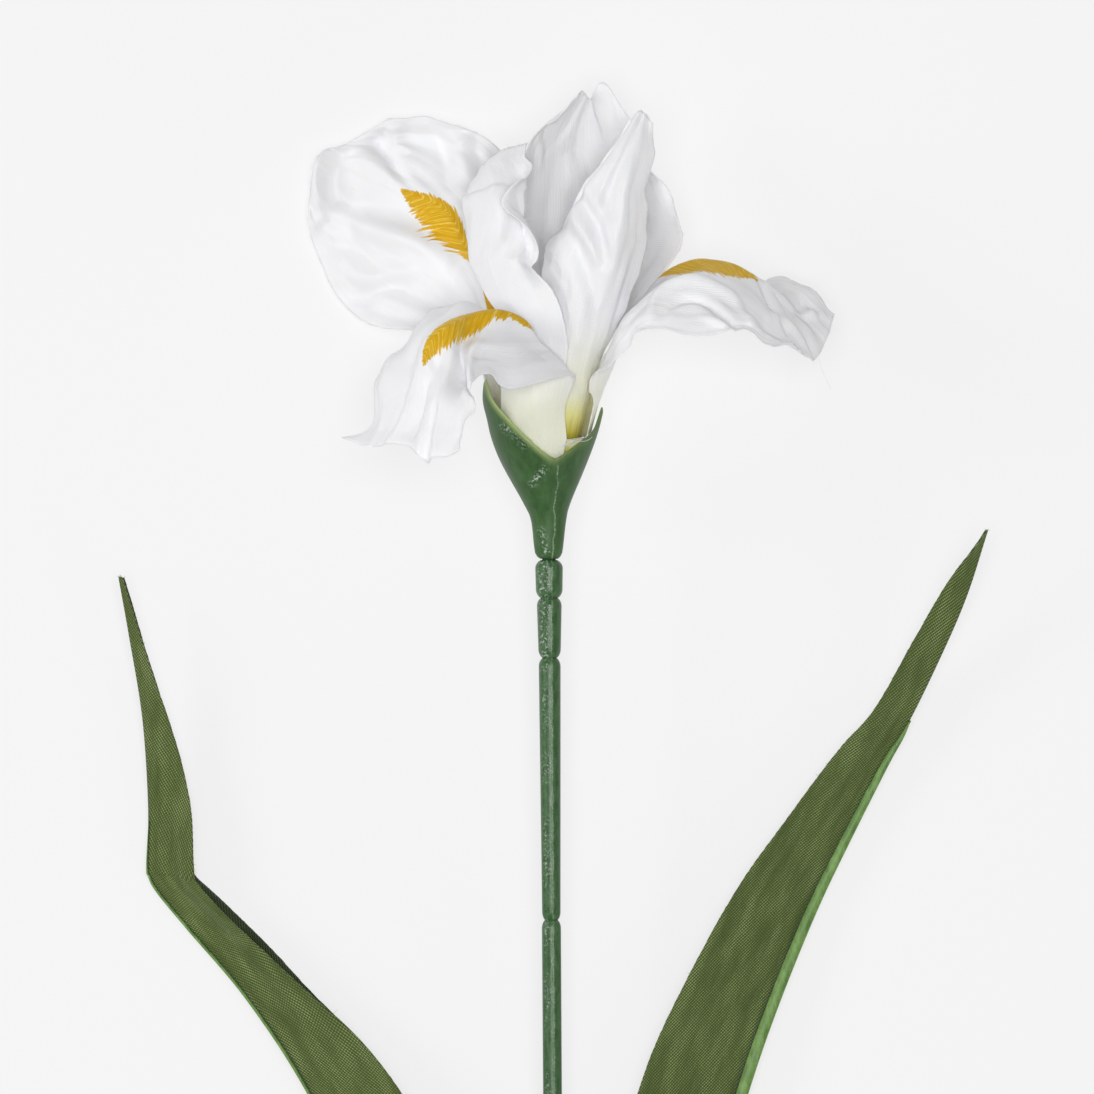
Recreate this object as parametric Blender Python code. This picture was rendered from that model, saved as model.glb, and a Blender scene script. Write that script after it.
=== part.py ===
"""Single-stem made iris, lying on its back on a table.

Everything is drawn in the flower's own axes, in millimetres: u to the right, v along the stem
towards the bloom and w up out of the table, with 0, 0, 0 at the foot of the calyx on the stem's
axis. One empty then leans the whole flower back until the rear petal, the leaves and the cut end
touch the table, and sets the origin under the middle of its box.
"""

import math

import bmesh
import bpy
import numpy as np

MM = 0.001

# How the flower lies
LEAN_DEG = 3.0
CALYX_FOOT_AT = (-0.00089, 0.17981, 0.02729)

# Sheet thicknesses and the clearance between touching pieces
PETAL_CLOTH = 0.7
LEAF_CLOTH = 0.8
GAP = 0.3

# Stem and its wire
STEM_BOTTOM = -480.0
STEM_DRIFT = -0.0066
WIRE_RADIUS = 0.8
BORE_RADIUS = 1.1
BORE_TOP = 2.0
SPIGOT_RADIUS = 1.7
SPIGOT_TOP = 6.0
STEM_SIDES = 14
# Joints of the stem from the top down: v of the lower neck, neck radius, radius above and below
STEM_JOINTS = (
    (0.0, 2.0, 2.0, 2.0),
    (-9.5, 2.1, 3.5, 3.3),
    (-24.5, 1.75, 3.15, 2.75),
    (-90.0, 1.6, 2.75, 2.3),
    (-155.0, 1.7, 2.4, 2.35),
    (-268.0, 1.7, 2.4, 2.4),
    (-335.0, 1.7, 2.4, 2.4),
    (-405.0, 1.7, 2.4, 2.4),
    (STEM_BOTTOM, 2.2, 2.4, 2.3),
)
CUT_END_RADIUS = 2.1
# Rounding of a joint's ends: its depth along the stem and the angles of its rings
SHOULDER = 1.4
SHOULDER_DEG = (25.0, 55.0, 90.0)

# Calyx: outer profile as v, radius and how far its middle stands to the left
CALYX_PROFILE = (
    (0.3, 2.7, 0.0),
    (2.2, 3.5, -0.1),
    (9.8, 4.4, -0.1),
    (14.0, 5.8, -0.5),
    (22.0, 9.7, -1.1),
    (26.5, 11.7, -1.3),
    (31.0, 13.3, -1.3),
    (35.0, 14.3, -1.2),
    (40.0, 15.3, -1.3),
    (45.3, 14.9, -1.4),
)
CALYX_FOOT = CALYX_PROFILE[0][0]
CALYX_WALL = 0.9
RIM_SLOPE = 0.2
CALYX_FLOOR = 8.5
CALYX_SIDES = 32
NOTCH_HEIGHT = 25.6
LEFT_HORN = 45.0
RIGHT_HORN = 38.0
HORN_POWER = 1.35
# Rings of its wall as shares of the way from floor to rim, and of its foot as v
INNER_RINGS = (0.0, 0.3, 0.6, 0.85, 1.0)
OUTER_RINGS = (1.0, 0.85, 0.6, 0.3, 0.12)
FOOT_RINGS = (CALYX_FLOOR, 5.0, 2.2, 0.9, CALYX_FOOT)

# Petal hub from the pin up to its domed cap: radius, v and sideways shift
BLOOM_SHIFT = -1.2
HUB_PROFILE = (
    (1.6, SPIGOT_TOP + GAP, 0.0),
    (1.6, CALYX_FLOOR + GAP, 0.0),
    (2.5, CALYX_FLOOR + GAP, -0.1),
    (3.6, 13.0, -0.4),
    (1.6, 13.15, BLOOM_SHIFT),
    (1.6, 15.8, BLOOM_SHIFT),
    (2.6, 16.1, BLOOM_SHIFT),
    (2.4, 17.3, BLOOM_SHIFT),
    (1.3, 18.5, BLOOM_SHIFT),
)
HUB_SIDES = 16

# The two cloth layers' funnels: radius and v of each ring of points
FALL_FUNNEL = ((2.0, 13.8), (3.5, 14.2), (4.7, 16.3), (7.8, 22.3), (9.9, 26.7), (11.1, 30.0))
STANDARD_FUNNEL = ((2.0, 15.0), (3.0, 15.3), (4.0, 17.2), (6.1, 22.3), (7.7, 26.7), (8.9, 30.5))
LOBE_HALF_ANGLE = 60.0
PETAL_COLUMNS = 10
PETAL_ROWS = 16

# Each petal is the angle of its middle round the stem, the side its rows start from and a net of
# points (u, v, w). Rows run from the funnel to the tip. The five points of a row run from edge to
# edge over the midrib, down the angles for side 1 and up them for side -1.
REAR_LEFT_FALL = (
    240,
    -1,
    (
        ((-13.2, 43, -2.6), (-12.2, 43, -8), (-8, 43.5, -12), (-2.5, 44, -13.5), (3, 43, -12.5)),
        ((-20, 51, -6.5), (-17.5, 55, -12.5), (-13, 58, -16), (-7.5, 60, -17.5), (-1, 60, -17.5)),
        ((-32.2, 57.4, -15), (-26.5, 63.8, -18), (-19.5, 74.5, -19), (-12, 79, -21.5), (-4, 81, -23.5)),
        (
            (-42.4, 58.6, -21.5), (-36.2, 69.4, -20.5), (-27.2, 84.6, -21),
            (-18.2, 92.5, -24), (-8.5, 99, -27),
        ),
        (
            (-51.6, 64, -27.5), (-45.4, 75.8, -24), (-36.4, 93, -23.5),
            (-26.8, 101.8, -27.5), (-17.7, 107.8, -26.5),
        ),
        (
            (-57.8, 75.4, -28.5), (-52.6, 85, -27.5), (-45.2, 98.2, -26),
            (-38.6, 105.4, -29.5), (-30.3, 111.7, -25.5),
        ),
        (
            (-61.3, 86, -27), (-60.6, 94.4, -31.75), (-57.4, 102.6, -31.3),
            (-50.2, 106.3, -28), (-40.5, 111.6, -27.5),
        ),
    ),
)
FRONT_LEFT_FALL = (
    120,
    -1,
    (
        ((5.3, 38, 10.3), (1.8, 38, 13), (-3.2, 38, 14.2), (-8.2, 38, 12.2), (-12, 38, 6.6)),
        ((6.3, 44.8, 12.5), (2.2, 46.5, 14.8), (-3.5, 47.8, 15.5), (-8.6, 47.5, 13), (-12.6, 47, 7)),
        ((5, 45.9, 16.5), (0, 52.2, 16.5), (-6.2, 57.6, 16.2), (-11.5, 58.5, 12), (-15.3, 58, 5.5)),
        ((-1, 44.5, 23.5), (-3.8, 52.2, 21), (-10.5, 61, 19.2), (-15, 61.8, 13), (-18.8, 62.2, 5)),
        ((-8.3, 42.4, 30), (-10.8, 51, 27), (-17, 61.5, 23), (-21, 62.8, 15), (-25, 63.2, 5)),
        ((-16.2, 45.2, 36), (-19.5, 51.5, 32), (-23.5, 57.8, 28.5), (-27.5, 60.2, 19), (-31.3, 59.3, 7)),
        ((-19.4, 42.2, 42), (-22.5, 46, 36), (-29, 52, 32), (-33, 53.6, 21.5), (-37.3, 52, 9)),
        ((-18.8, 38.6, 47), (-24.8, 40.6, 39), (-32, 44, 35.5), (-37, 45.5, 23.5), (-43, 45.2, 11.5)),
        ((-22, 33.2, 48.5), (-27.4, 33.6, 41), (-33.6, 36.6, 38), (-38.6, 37.6, 26.5), (-44, 37.2, 15)),
        ((-22, 26.8, 50), (-29.6, 24.2, 43.5), (-35.2, 28.2, 39.5), (-42.5, 27.8, 29.5), (-51.2, 30.3, 22)),
    ),
)
RIGHT_FALL = (
    0,
    1,
    (
        ((9.4, 38.5, 8.6), (11.6, 39, 5.2), (12.3, 39, 0), (11.2, 39, -5.4), (8.2, 39, -9.4)),
        ((10.8, 45.5, 10.6), (13.4, 47, 6.6), (15.6, 47.5, 0), (14.8, 47.5, -6.8), (11, 47.5, -11.6)),
        ((16.2, 48.6, 14.5), (15.8, 54, 9), (18.8, 56, -0.5), (18.4, 55, -8.6), (15.2, 53, -14.5)),
        ((20.8, 55.2, 17.5), (20.6, 61.2, 11), (24, 65, -0.5), (24.2, 62.2, -10.6), (21.2, 57, -17.5)),
        ((27, 57.4, 20.5), (27.2, 65, 13), (30.6, 72.3, 0), (31.4, 67.6, -12.2), (29.2, 59.2, -21)),
        ((34.2, 55.4, 24), (35.2, 65.2, 16), (38.2, 75.3, 0.5), (39, 70.2, -13.4), (37.6, 60.6, -23.5)),
        ((41.8, 56, 25.5), (42.8, 64.2, 17.5), (45.8, 73.2, 1), (46.6, 69.4, -13.6), (46.8, 63.6, -24.5)),
        ((47.8, 56.8, 23), (49.6, 60.8, 17.5), (52.2, 69.4, 2.5), (54.2, 68.6, -11), (56.2, 70.6, -20.5)),
        ((54, 53.4, 21.5), (56, 56.6, 16), (58.2, 62.2, 4.5), (61.2, 65.2, -7), (63.4, 70.2, -15)),
        ((60.6, 53.8, 16), (62.4, 51.8, 13), (66.2, 50, 7), (69.6, 55.6, -1), (71.6, 61.6, -7.5)),
    ),
)
FRONT_STANDARD = (
    60,
    1,
    (
        ((-2.6, 41, 7.8), (1.4, 41, 9.3), (5.2, 41, 9), (8.4, 41, 6.8), (10.2, 41, 3)),
        ((-3, 54, 8.2), (2.4, 54, 11), (7.6, 54, 11.8), (11.8, 54, 9.4), (14.4, 54, 4.6)),
        ((-2.6, 67.5, 8), (4, 67.5, 13), (10.4, 67, 15.6), (15.8, 67, 13.6), (20.4, 66.5, 7)),
        ((-0.2, 78.3, 8.5), (5.6, 79, 15.5), (12.2, 80, 18), (18.8, 80, 18.4), (24, 80, 10.5)),
        ((4.6, 88, 11.5), (9.4, 90, 17), (14.4, 91.5, 18.2), (19.6, 92, 19.2), (23.6, 91.5, 13)),
        ((11.4, 98.5, 14.5), (14.6, 100, 17.6), (18, 101, 18), (21.8, 100.5, 18), (25.4, 99.5, 14)),
        (
            (19.6, 109.6, 15.5), (21.2, 110.8, 16.4), (22.8, 111.4, 16.6),
            (24.2, 110.4, 16.2), (25.4, 108.2, 15),
        ),
    ),
)
REAR_STANDARD = (
    300,
    -1,
    (
        ((-6, 41, -7.8), (-1.6, 41, -9.8), (3.4, 41, -9.4), (7.6, 41, -6.8), (9.8, 41, -2.6)),
        ((-6.5, 54, -9.2), (-0.5, 54, -12.4), (5.6, 54, -12.6), (11.2, 54, -9.6), (14.6, 54, -3.2)),
        ((-7, 67.5, -7.5), (1, 68, -13.6), (9.6, 68, -15.6), (18, 67.5, -12), (24.6, 66.5, -3)),
        ((-7.2, 80, -4.5), (1.5, 80, -13.6), (12, 80, -17.6), (24, 80, -12), (32.4, 79.5, -2)),
        ((-6.6, 92, -2), (1.2, 93, -12), (11.6, 94, -17), (22.6, 93.6, -12), (30.2, 91.2, -4)),
        ((-5, 103.6, -1), (1.8, 106, -9), (9.6, 106.5, -14), (17.6, 106, -10), (24.4, 100.6, -6)),
        ((3.2, 111.2, -3.5), (7.6, 117.6, -4), (10.4, 115.8, -9.5), (13.6, 119.6, -5), (19.8, 111.2, -6)),
    ),
)
LEFT_STANDARD = (
    180,
    1,
    (
        ((-7.2, 40, -6.8), (-10.6, 40, -3.4), (-11.4, 40, 1), (-9.6, 40, 5.4), (-5.4, 40, 8.4)),
        ((-9.2, 48, -8), (-12.4, 48, -4), (-12.8, 48, 2), (-8, 48, 8), (3.6, 47, 11.2)),
        ((-12, 57, -8.6), (-15, 57, -3.6), (-14.2, 58, 4), (-7.4, 58, 11), (4.2, 56.6, 13.6)),
        ((-15.6, 66, -8.8), (-18, 66, -3), (-16.6, 67, 5), (-9.6, 67, 12.4), (1.2, 66.4, 14.6)),
        ((-18, 75, -8.4), (-20, 75, -2), (-17.6, 76, 6.6), (-11.6, 75.5, 12.8), (-4.6, 73.6, 12)),
        ((-18.6, 84, -8), (-21.2, 83, -1), (-18, 85, 7.4), (-12, 84, 12.6), (-6.4, 83, 9)),
        ((-17.2, 93, -8), (-21.2, 90, -1), (-18, 92.4, 6), (-12.6, 93.8, 9.4), (-6.4, 92, 8)),
        ((-12, 101, -8.4), (-16.6, 98.4, -4), (-16, 99.6, -0.5), (-11, 102.6, 1.5), (-5.6, 104, 3.2)),
    ),
)

# Leaves: each row is the free edge of the upper wing, the fold and the free edge of the lower wing
LEAF_WING_COLUMNS = 4
LEAF_ROWS = 22
LEFT_LEAF = (
    ((-5, -221, 1.6), (-9.2, -222.5, -1), (-5.6, -223.5, -3.6)),
    ((-13, -191, -0.5), (-28, -195, -5.5), (-14, -193, -9.6)),
    ((-26, -156, -4), (-46, -163, -10.2), (-26.5, -159, -14.8)),
    ((-42, -127, -8), (-60.3, -133.6, -14.2), (-39.9, -131.5, -19.3)),
    ((-69.2, -100.9, -11.5), (-75.6, -110.4, -16.6), (-65, -104.6, -21.3)),
    ((-82, -89, -14), (-91.7, -91.8, -18.5), (-79.7, -90, -22.2)),
    ((-88.8, -80.2, -15.5), (-100.6, -79.8, -19.5), (-89.5, -79.8, -22.6)),
    ((-90.3, -61, -15.8), (-101, -61.5, -19), (-92.5, -61, -22.6)),
    ((-96.2, -39.5, -15.2), (-102.4, -39.8, -17.5), (-96.6, -39.5, -20.5)),
    ((-102.9, -18.9, -13.4), (-105.6, -19.2, -14.8), (-103.4, -18.9, -16.6)),
    ((-107.4, -4.6, -11.4), (-108.1, -4.4, -12), (-107.6, -4.6, -12.8)),
)
RIGHT_LEAF = (
    ((6.4, -219, 2.4), (11.2, -222.5, -1), (7.4, -222, -3.6)),
    ((12, -187, 0.5), (28, -190.5, -6), (13, -188.5, -10.3)),
    ((16.5, -157, -2.5), (39.6, -160.5, -10), (19.5, -158.5, -15.2)),
    ((23.6, -129.4, -5.5), (47, -134, -13.2), (27.2, -131, -18.5)),
    ((33.8, -106.8, -8.5), (55, -111.4, -15.6), (37.8, -108.2, -20.9)),
    ((47.4, -82.6, -11.5), (65, -87.6, -18), (50.9, -84.6, -22.4)),
    ((60.2, -64.8, -13.5), (74, -69.6, -19), (62.8, -66.6, -23.3)),
    ((73.6, -47.4, -14), (84.2, -50.6, -18.5), (75.3, -48.6, -23.2)),
    ((82, -37.6, -14), (90.6, -40.8, -17.5), (83, -38.2, -21.2)),
    ((93, -18.4, -11.5), (99.2, -22.8, -14.2), (93.9, -19, -17)),
    ((101, -4, -8.5), (105, -8.6, -10.2), (101.5, -4.6, -11.6)),
    ((109.4, 7.2, -5.6), (109.9, 7.3, -6.3), (109.6, 7.2, -7)),
)
LEFT_RIB_WIDTH = 2.0
RIGHT_RIB_WIDTH = 3.4
RIB_THICKNESS = 1.5
RIB_SIDES = 8
RIB_ROWS = 20
RIB_REACH = 0.73
STALK_DEPTH = 12.0

# Leaf collar on the stem: radius and v from the bore's upper edge round to its lower one
COLLAR_TOP = -229.0
COLLAR_BORE = 2.4 + GAP
COLLAR_PROFILE = (
    (COLLAR_BORE, COLLAR_TOP),
    (7.1, COLLAR_TOP),
    (7.6, COLLAR_TOP - 0.6),
    (7.6, COLLAR_TOP - 9.0),
    (4.0, COLLAR_TOP - 20.0),
    (COLLAR_BORE, COLLAR_TOP - 20.0),
)
COLLAR_SIDES = 24
SOCKET_SIDES = 12
SOCKET_OVERCUT = 5.0
STALK_RADIUS = 1.5
STALK_OFFSET = 4.9
STALK_RISE = 1.5

COLOURS = {
    "petal_white": ((0.88, 0.88, 0.90), 0.75, 0.0),
    "hub_yellow_green": ((0.48, 0.46, 0.10), 0.5, 0.0),
    "calyx_green": ((0.05, 0.14, 0.065), 0.45, 0.0),
    "stem_green": ((0.045, 0.14, 0.06), 0.35, 0.0),
    "leaf_green": ((0.075, 0.115, 0.03), 0.8, 0.0),
    "rib_green": ((0.15, 0.32, 0.08), 0.45, 0.0),
    "steel": ((0.50, 0.50, 0.50), 0.35, 1.0),
}


def material(name):
    """Make or reuse one Principled material."""
    found = bpy.data.materials.get(name)
    if found:
        return found
    colour, roughness, metallic = COLOURS[name]
    made = bpy.data.materials.new(name)
    made.use_nodes = True
    shader = made.node_tree.nodes["Principled BSDF"]
    shader.inputs["Base Color"].default_value = (*colour, 1.0)
    shader.inputs["Roughness"].default_value = roughness
    shader.inputs["Metallic"].default_value = metallic
    made.diffuse_color = (*colour, 1.0)
    return made


def add_object(name, points, faces, finish):
    """Put points in millimetres and faces into a named object of one material."""
    mesh = bpy.data.meshes.new(name)
    mesh.from_pydata((np.asarray(points) * MM).tolist(), [], faces)
    mesh.materials.append(material(finish))
    mesh.shade_smooth()
    made = bpy.data.objects.new(name, mesh)
    bpy.context.collection.objects.link(made)
    return made


def spline_weights(count, where):
    """Weights that carry a smooth curve through count points, read at where from 0 to 1."""
    place = np.clip(np.asarray(where, dtype=float), 0.0, 1.0) * (count - 1)
    low = np.minimum(place.astype(int), count - 2)
    f = place - low
    shares = (
        (-f**3 + 2 * f**2 - f) / 2,
        (3 * f**3 - 5 * f**2 + 2) / 2,
        (-3 * f**3 + 4 * f**2 + f) / 2,
        (f**3 - f**2) / 2,
    )
    weights = np.zeros((len(place), count + 2))
    rows = np.arange(len(place))
    for step, share in enumerate(shares):
        weights[rows, low + step] += share
    inner = weights[:, 1:-1].copy()
    inner[:, 0] += 2 * weights[:, 0]
    inner[:, 1] -= weights[:, 0]
    inner[:, -1] += 2 * weights[:, -1]
    inner[:, -2] -= weights[:, -1]
    return inner


def smooth_net(net, along, across):
    """Read a net of points as one smooth surface at the given places along and across."""
    net = np.asarray(net, dtype=float)
    row_share = spline_weights(net.shape[0], along)
    column_share = spline_weights(net.shape[1], across)
    return np.einsum("ri,cj,ijk->rck", row_share, column_share, net)


def ring_points(radius, height, angles):
    """Points of a funnel ring round the bloom's axis."""
    turn = np.radians(angles)
    return np.stack(
        (BLOOM_SHIFT + radius * np.cos(turn), np.full(len(turn), height), radius * np.sin(turn)), axis=-1
    )


def grid_faces(rows, columns, start=0):
    """Quads of a grid of points that is stored row by row."""
    first = start + np.arange(rows - 1)[:, None] * columns + np.arange(columns - 1)[None, :]
    quads = np.stack((first, first + 1, first + columns + 1, first + columns), axis=-1)
    return quads.reshape(-1, 4).tolist()


def petal_grid(petal, funnel, rows, columns):
    """One lobe: its third of the funnel by rings, then its own net up to the tip."""
    middle, side, net = petal
    across = np.linspace(0.0, 1.0, columns + 1)
    angles = middle + LOBE_HALF_ANGLE * (1.0 - 2.0 * across)
    rings = [ring_points(radius, height, angles) for radius, height in funnel]
    corner_angles = middle + LOBE_HALF_ANGLE * np.array((0.97, 0.5, 0.0, -0.5, -0.97))
    lead_in = [ring_points(radius, height, corner_angles) for radius, height in funnel[-2:]]
    full_net = np.concatenate((lead_in, np.asarray(net)[:, ::side]))
    start = 1.0 / (len(full_net) - 1)
    along = start + (1.0 - start) * np.arange(1, rows + 1) / rows
    blade = smooth_net(full_net, along, across)
    return np.concatenate((rings, blade))


def cloth_layer(name, petals, funnel, finish):
    """A die-cut layer of three lobes, joined round the hub and given its thickness."""
    points, faces = [], []
    for petal in petals:
        grid = petal_grid(petal, funnel, PETAL_ROWS, PETAL_COLUMNS)
        faces += grid_faces(grid.shape[0], grid.shape[1], start=len(points))
        points += grid.reshape(-1, 3).tolist()
    layer = add_object(name, points, faces, finish)
    shape = bmesh.new()
    shape.from_mesh(layer.data)
    bmesh.ops.remove_doubles(shape, verts=shape.verts, dist=0.02 * MM)
    bmesh.ops.triangulate(shape, faces=shape.faces, quad_method="SHORT_EDGE")
    shape.to_mesh(layer.data)
    shape.free()
    thicken(layer, PETAL_CLOTH)
    return layer


def thicken(sheet, thickness):
    """Give a sheet its thickness, half to each side."""
    wall = sheet.modifiers.new("cloth thickness", "SOLIDIFY")
    wall.thickness = thickness * MM
    wall.offset = 0.0


def full_turn(sides):
    """Angles of a ring's points, in radians."""
    return np.linspace(0.0, 2 * math.pi, sides, endpoint=False)


def ring_solid(name, rings, finish, closed=False):
    """Skin successive rings of points. Closed joins the last ring to the first, as in a bush."""
    count, sides = rings.shape[:2]
    faces = []
    for ring in range(count if closed else count - 1):
        upper = ((ring + 1) % count) * sides
        lower = ring * sides
        for side in range(sides):
            after = (side + 1) % sides
            faces.append((lower + side, lower + after, upper + after, upper + side))
    if not closed:
        faces.append(list(range(sides))[::-1])
        faces.append(list(range((count - 1) * sides, count * sides)))
    made = add_object(name, rings.reshape(-1, 3), faces, finish)
    shape = bmesh.new()
    shape.from_mesh(made.data)
    bmesh.ops.recalc_face_normals(shape, faces=shape.faces)
    shape.to_mesh(made.data)
    shape.free()
    return made


def turned_solid(name, profile, sides, centres, finish, closed=False):
    """Turn a profile of radius and v about the stem. Each ring's centre has its own u."""
    profile = np.asarray(profile, dtype=float)
    turn = full_turn(sides)
    rings = np.stack(
        (
            np.asarray(centres, dtype=float)[:, None] + profile[:, :1] * np.cos(turn),
            np.repeat(profile[:, 1:], sides, axis=1),
            profile[:, :1] * np.sin(turn),
        ),
        axis=-1,
    )
    return ring_solid(name, rings, finish, closed)


def stem_axis(v):
    """How far the stem's axis has drifted to the right at v."""
    return STEM_DRIFT * np.asarray(v, dtype=float)


def stem_profile():
    """Radius and v down the stem: rounded joints between pinched necks."""
    profile = [(SPIGOT_RADIUS, SPIGOT_TOP), (SPIGOT_RADIUS, -0.1)]
    bend = np.radians(SHOULDER_DEG)
    for above, below in zip(STEM_JOINTS, STEM_JOINTS[1:]):
        top, neck_top = above[:2]
        bottom, neck_bottom, wide_top, wide_bottom = below
        if top < 0.0:
            profile.append((neck_top, top))
        swell = np.sin(bend)
        drop = SHOULDER * (1.25 - np.cos(bend))
        profile += zip(neck_top + (wide_top - neck_top) * swell, top - drop)
        swell, drop = swell[::-1], drop[::-1]
        profile += zip(neck_bottom + (wide_bottom - neck_bottom) * swell, bottom + drop)
    profile.append((CUT_END_RADIUS, STEM_BOTTOM))
    return profile


def add_stem():
    """Moulded stem with pinched joints and a blind bore for its wire."""
    profile = stem_profile() + [(BORE_RADIUS, STEM_BOTTOM), (BORE_RADIUS, BORE_TOP)]
    centres = stem_axis([v for _, v in profile])
    return turned_solid("stem", profile, STEM_SIDES, centres, "stem_green")


def add_stem_wire():
    """Steel wire in the stem's bore, cut off with the stem."""
    profile = [(WIRE_RADIUS, BORE_TOP - GAP), (WIRE_RADIUS, STEM_BOTTOM + GAP)]
    centres = stem_axis([v for _, v in profile])
    return turned_solid("stem_wire", profile, STEM_SIDES, centres, "steel")


def rim_height(turn):
    """Height of the calyx's rim: two horns, left and right, with a notch before and behind."""
    lift = np.abs(np.cos(turn)) ** HORN_POWER
    horn = np.where(np.cos(turn) < 0.0, LEFT_HORN, RIGHT_HORN)
    return NOTCH_HEIGHT + (horn - NOTCH_HEIGHT) * lift


def calyx_radius(v):
    """Outer radius and sideways shift of the calyx at v."""
    heights, radii, shifts = np.array(CALYX_PROFILE).T
    return np.interp(v, heights, radii), np.interp(v, heights, shifts)


def add_calyx():
    """Hollow two-horned cup on a solid foot with a bore for the stem's spigot."""
    turn = full_turn(CALYX_SIDES)
    rim = rim_height(turn)
    level = np.ones(CALYX_SIDES)

    def ring(radius, height, shift):
        return np.stack((shift + radius * np.cos(turn), height, radius * np.sin(turn)), axis=-1)

    def wall_ring(height, inset):
        radius, shift = calyx_radius(height)
        return ring(radius - inset, height, shift)

    rings = [ring(SPIGOT_RADIUS + GAP, level * height, 0.0) for height in (CALYX_FOOT, CALYX_FLOOR)]
    for share in INNER_RINGS:
        rings.append(wall_ring(CALYX_FLOOR + (rim - CALYX_FLOOR) * share, CALYX_WALL))
    for share in OUTER_RINGS:
        rings.append(wall_ring(CALYX_FLOOR + (rim - CALYX_FLOOR) * share - RIM_SLOPE, 0.0))
    for height in FOOT_RINGS:
        rings.append(wall_ring(level * height, 0.0))
    return ring_solid("calyx", np.array(rings), "calyx_green", closed=True)


def add_petal_hub():
    """Plug that both cloth layers are threaded on: pin, flange, peg and domed cap."""
    radii, heights, shifts = np.array(HUB_PROFILE).T
    profile = np.stack((radii, heights), axis=-1)
    return turned_solid("petal_hub", profile, HUB_SIDES, shifts, "hub_yellow_green")


def leaf_lines(leaf):
    """The upper wing's edge, the fold and the lower wing's edge, as three lines of points."""
    return tuple(np.asarray(leaf, dtype=float).transpose(1, 0, 2))


def add_leaf(name, leaf):
    """A blade of cloth folded to a V along its rib."""
    along = np.linspace(0.0, 1.0, LEAF_ROWS + 1)
    share = spline_weights(len(leaf), along)
    upper, fold, lower = (share @ side for side in leaf_lines(leaf))
    step = np.linspace(0.0, 1.0, LEAF_WING_COLUMNS + 1)[None, :, None]
    wing = upper[:, None] * (1.0 - step) + fold[:, None] * step
    back = fold[:, None] * (1.0 - step) + lower[:, None] * step
    grid = np.concatenate((wing, back[:, 1:]), axis=1)
    faces = grid_faces(grid.shape[0], grid.shape[1])
    blade = add_object(name, grid.reshape(-1, 3), faces, "leaf_green")
    shape = bmesh.new()
    shape.from_mesh(blade.data)
    bmesh.ops.triangulate(shape, faces=shape.faces, quad_method="SHORT_EDGE")
    shape.to_mesh(blade.data)
    shape.free()
    thicken(blade, LEAF_CLOTH)
    return blade


def add_rib(name, leaf, side, full_width):
    """Moulded strip along the fold that runs on as a round stalk into the collar."""
    share = spline_weights(len(leaf), np.linspace(0.0, RIB_REACH, RIB_ROWS))
    upper, fold, lower = (share @ edge for edge in leaf_lines(leaf))
    inward = (upper + lower) / 2 - fold
    inward /= np.linalg.norm(inward, axis=1)[:, None]
    along = np.gradient(fold, axis=0)
    along /= np.linalg.norm(along, axis=1)[:, None]
    inward -= along * np.sum(along * inward, axis=1)[:, None]
    inward /= np.linalg.norm(inward, axis=1)[:, None]
    across = np.cross(along, inward)
    taper = np.sqrt(np.clip(1.0 - np.linspace(0.0, 1.0, RIB_ROWS) ** 3, 0.03, 1.0))
    width = full_width * taper
    thick = RIB_THICKNESS * (0.5 + 0.5 * taper)
    centre = fold - inward * (width / 2 + LEAF_CLOTH / 2 + GAP)[:, None]
    stalk_u = side * STALK_OFFSET + stem_axis(COLLAR_TOP)
    turn = full_turn(RIB_SIDES)[:, None] + math.pi / RIB_SIDES
    round_stalk = STALK_RADIUS * (inward[0] * np.cos(turn) + across[0] * np.sin(turn)) * (1.0, 0.0, 1.0)
    ends = ((stalk_u, COLLAR_TOP - STALK_DEPTH, 0.0), (stalk_u, COLLAR_TOP + STALK_RISE, 0.0))
    stalk = [np.array(end) + round_stalk for end in ends]
    blade = (
        centre[:, None]
        + inward[:, None] * np.cos(turn) * width[:, None, None] / 2
        + across[:, None] * np.sin(turn) * thick[:, None, None] / 2
    )
    return ring_solid(name, np.concatenate((stalk, blade)), "rib_green")


def add_collar():
    """Sleeve on the stem with a blind socket on each side for a leaf stalk."""
    centres = stem_axis([v for _, v in COLLAR_PROFILE])
    collar = turned_solid("leaf_collar", COLLAR_PROFILE, COLLAR_SIDES, centres, "rib_green", closed=True)
    for side in (-1.0, 1.0):
        stalk_u = side * STALK_OFFSET + stem_axis(COLLAR_TOP)
        hole = STALK_RADIUS + GAP
        depth = ((hole, COLLAR_TOP - STALK_DEPTH - GAP), (hole, COLLAR_TOP + SOCKET_OVERCUT))
        cutter = turned_solid("socket_cutter", depth, SOCKET_SIDES, (stalk_u, stalk_u), "rib_green")
        cutter.hide_render = True
        cutter.display_type = "WIRE"
        cut = collar.modifiers.new("stalk socket", "BOOLEAN")
        cut.operation = "DIFFERENCE"
        cut.object = cutter
    return collar


def lay_down(pieces):
    """Lean the flower back about the calyx's foot and set it on the table."""
    lie = bpy.data.objects.new("flower_axes", None)
    bpy.context.collection.objects.link(lie)
    lie.location = CALYX_FOOT_AT
    lie.rotation_euler = (math.radians(LEAN_DEG), 0.0, 0.0)
    for piece in pieces:
        piece.parent = lie


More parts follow.
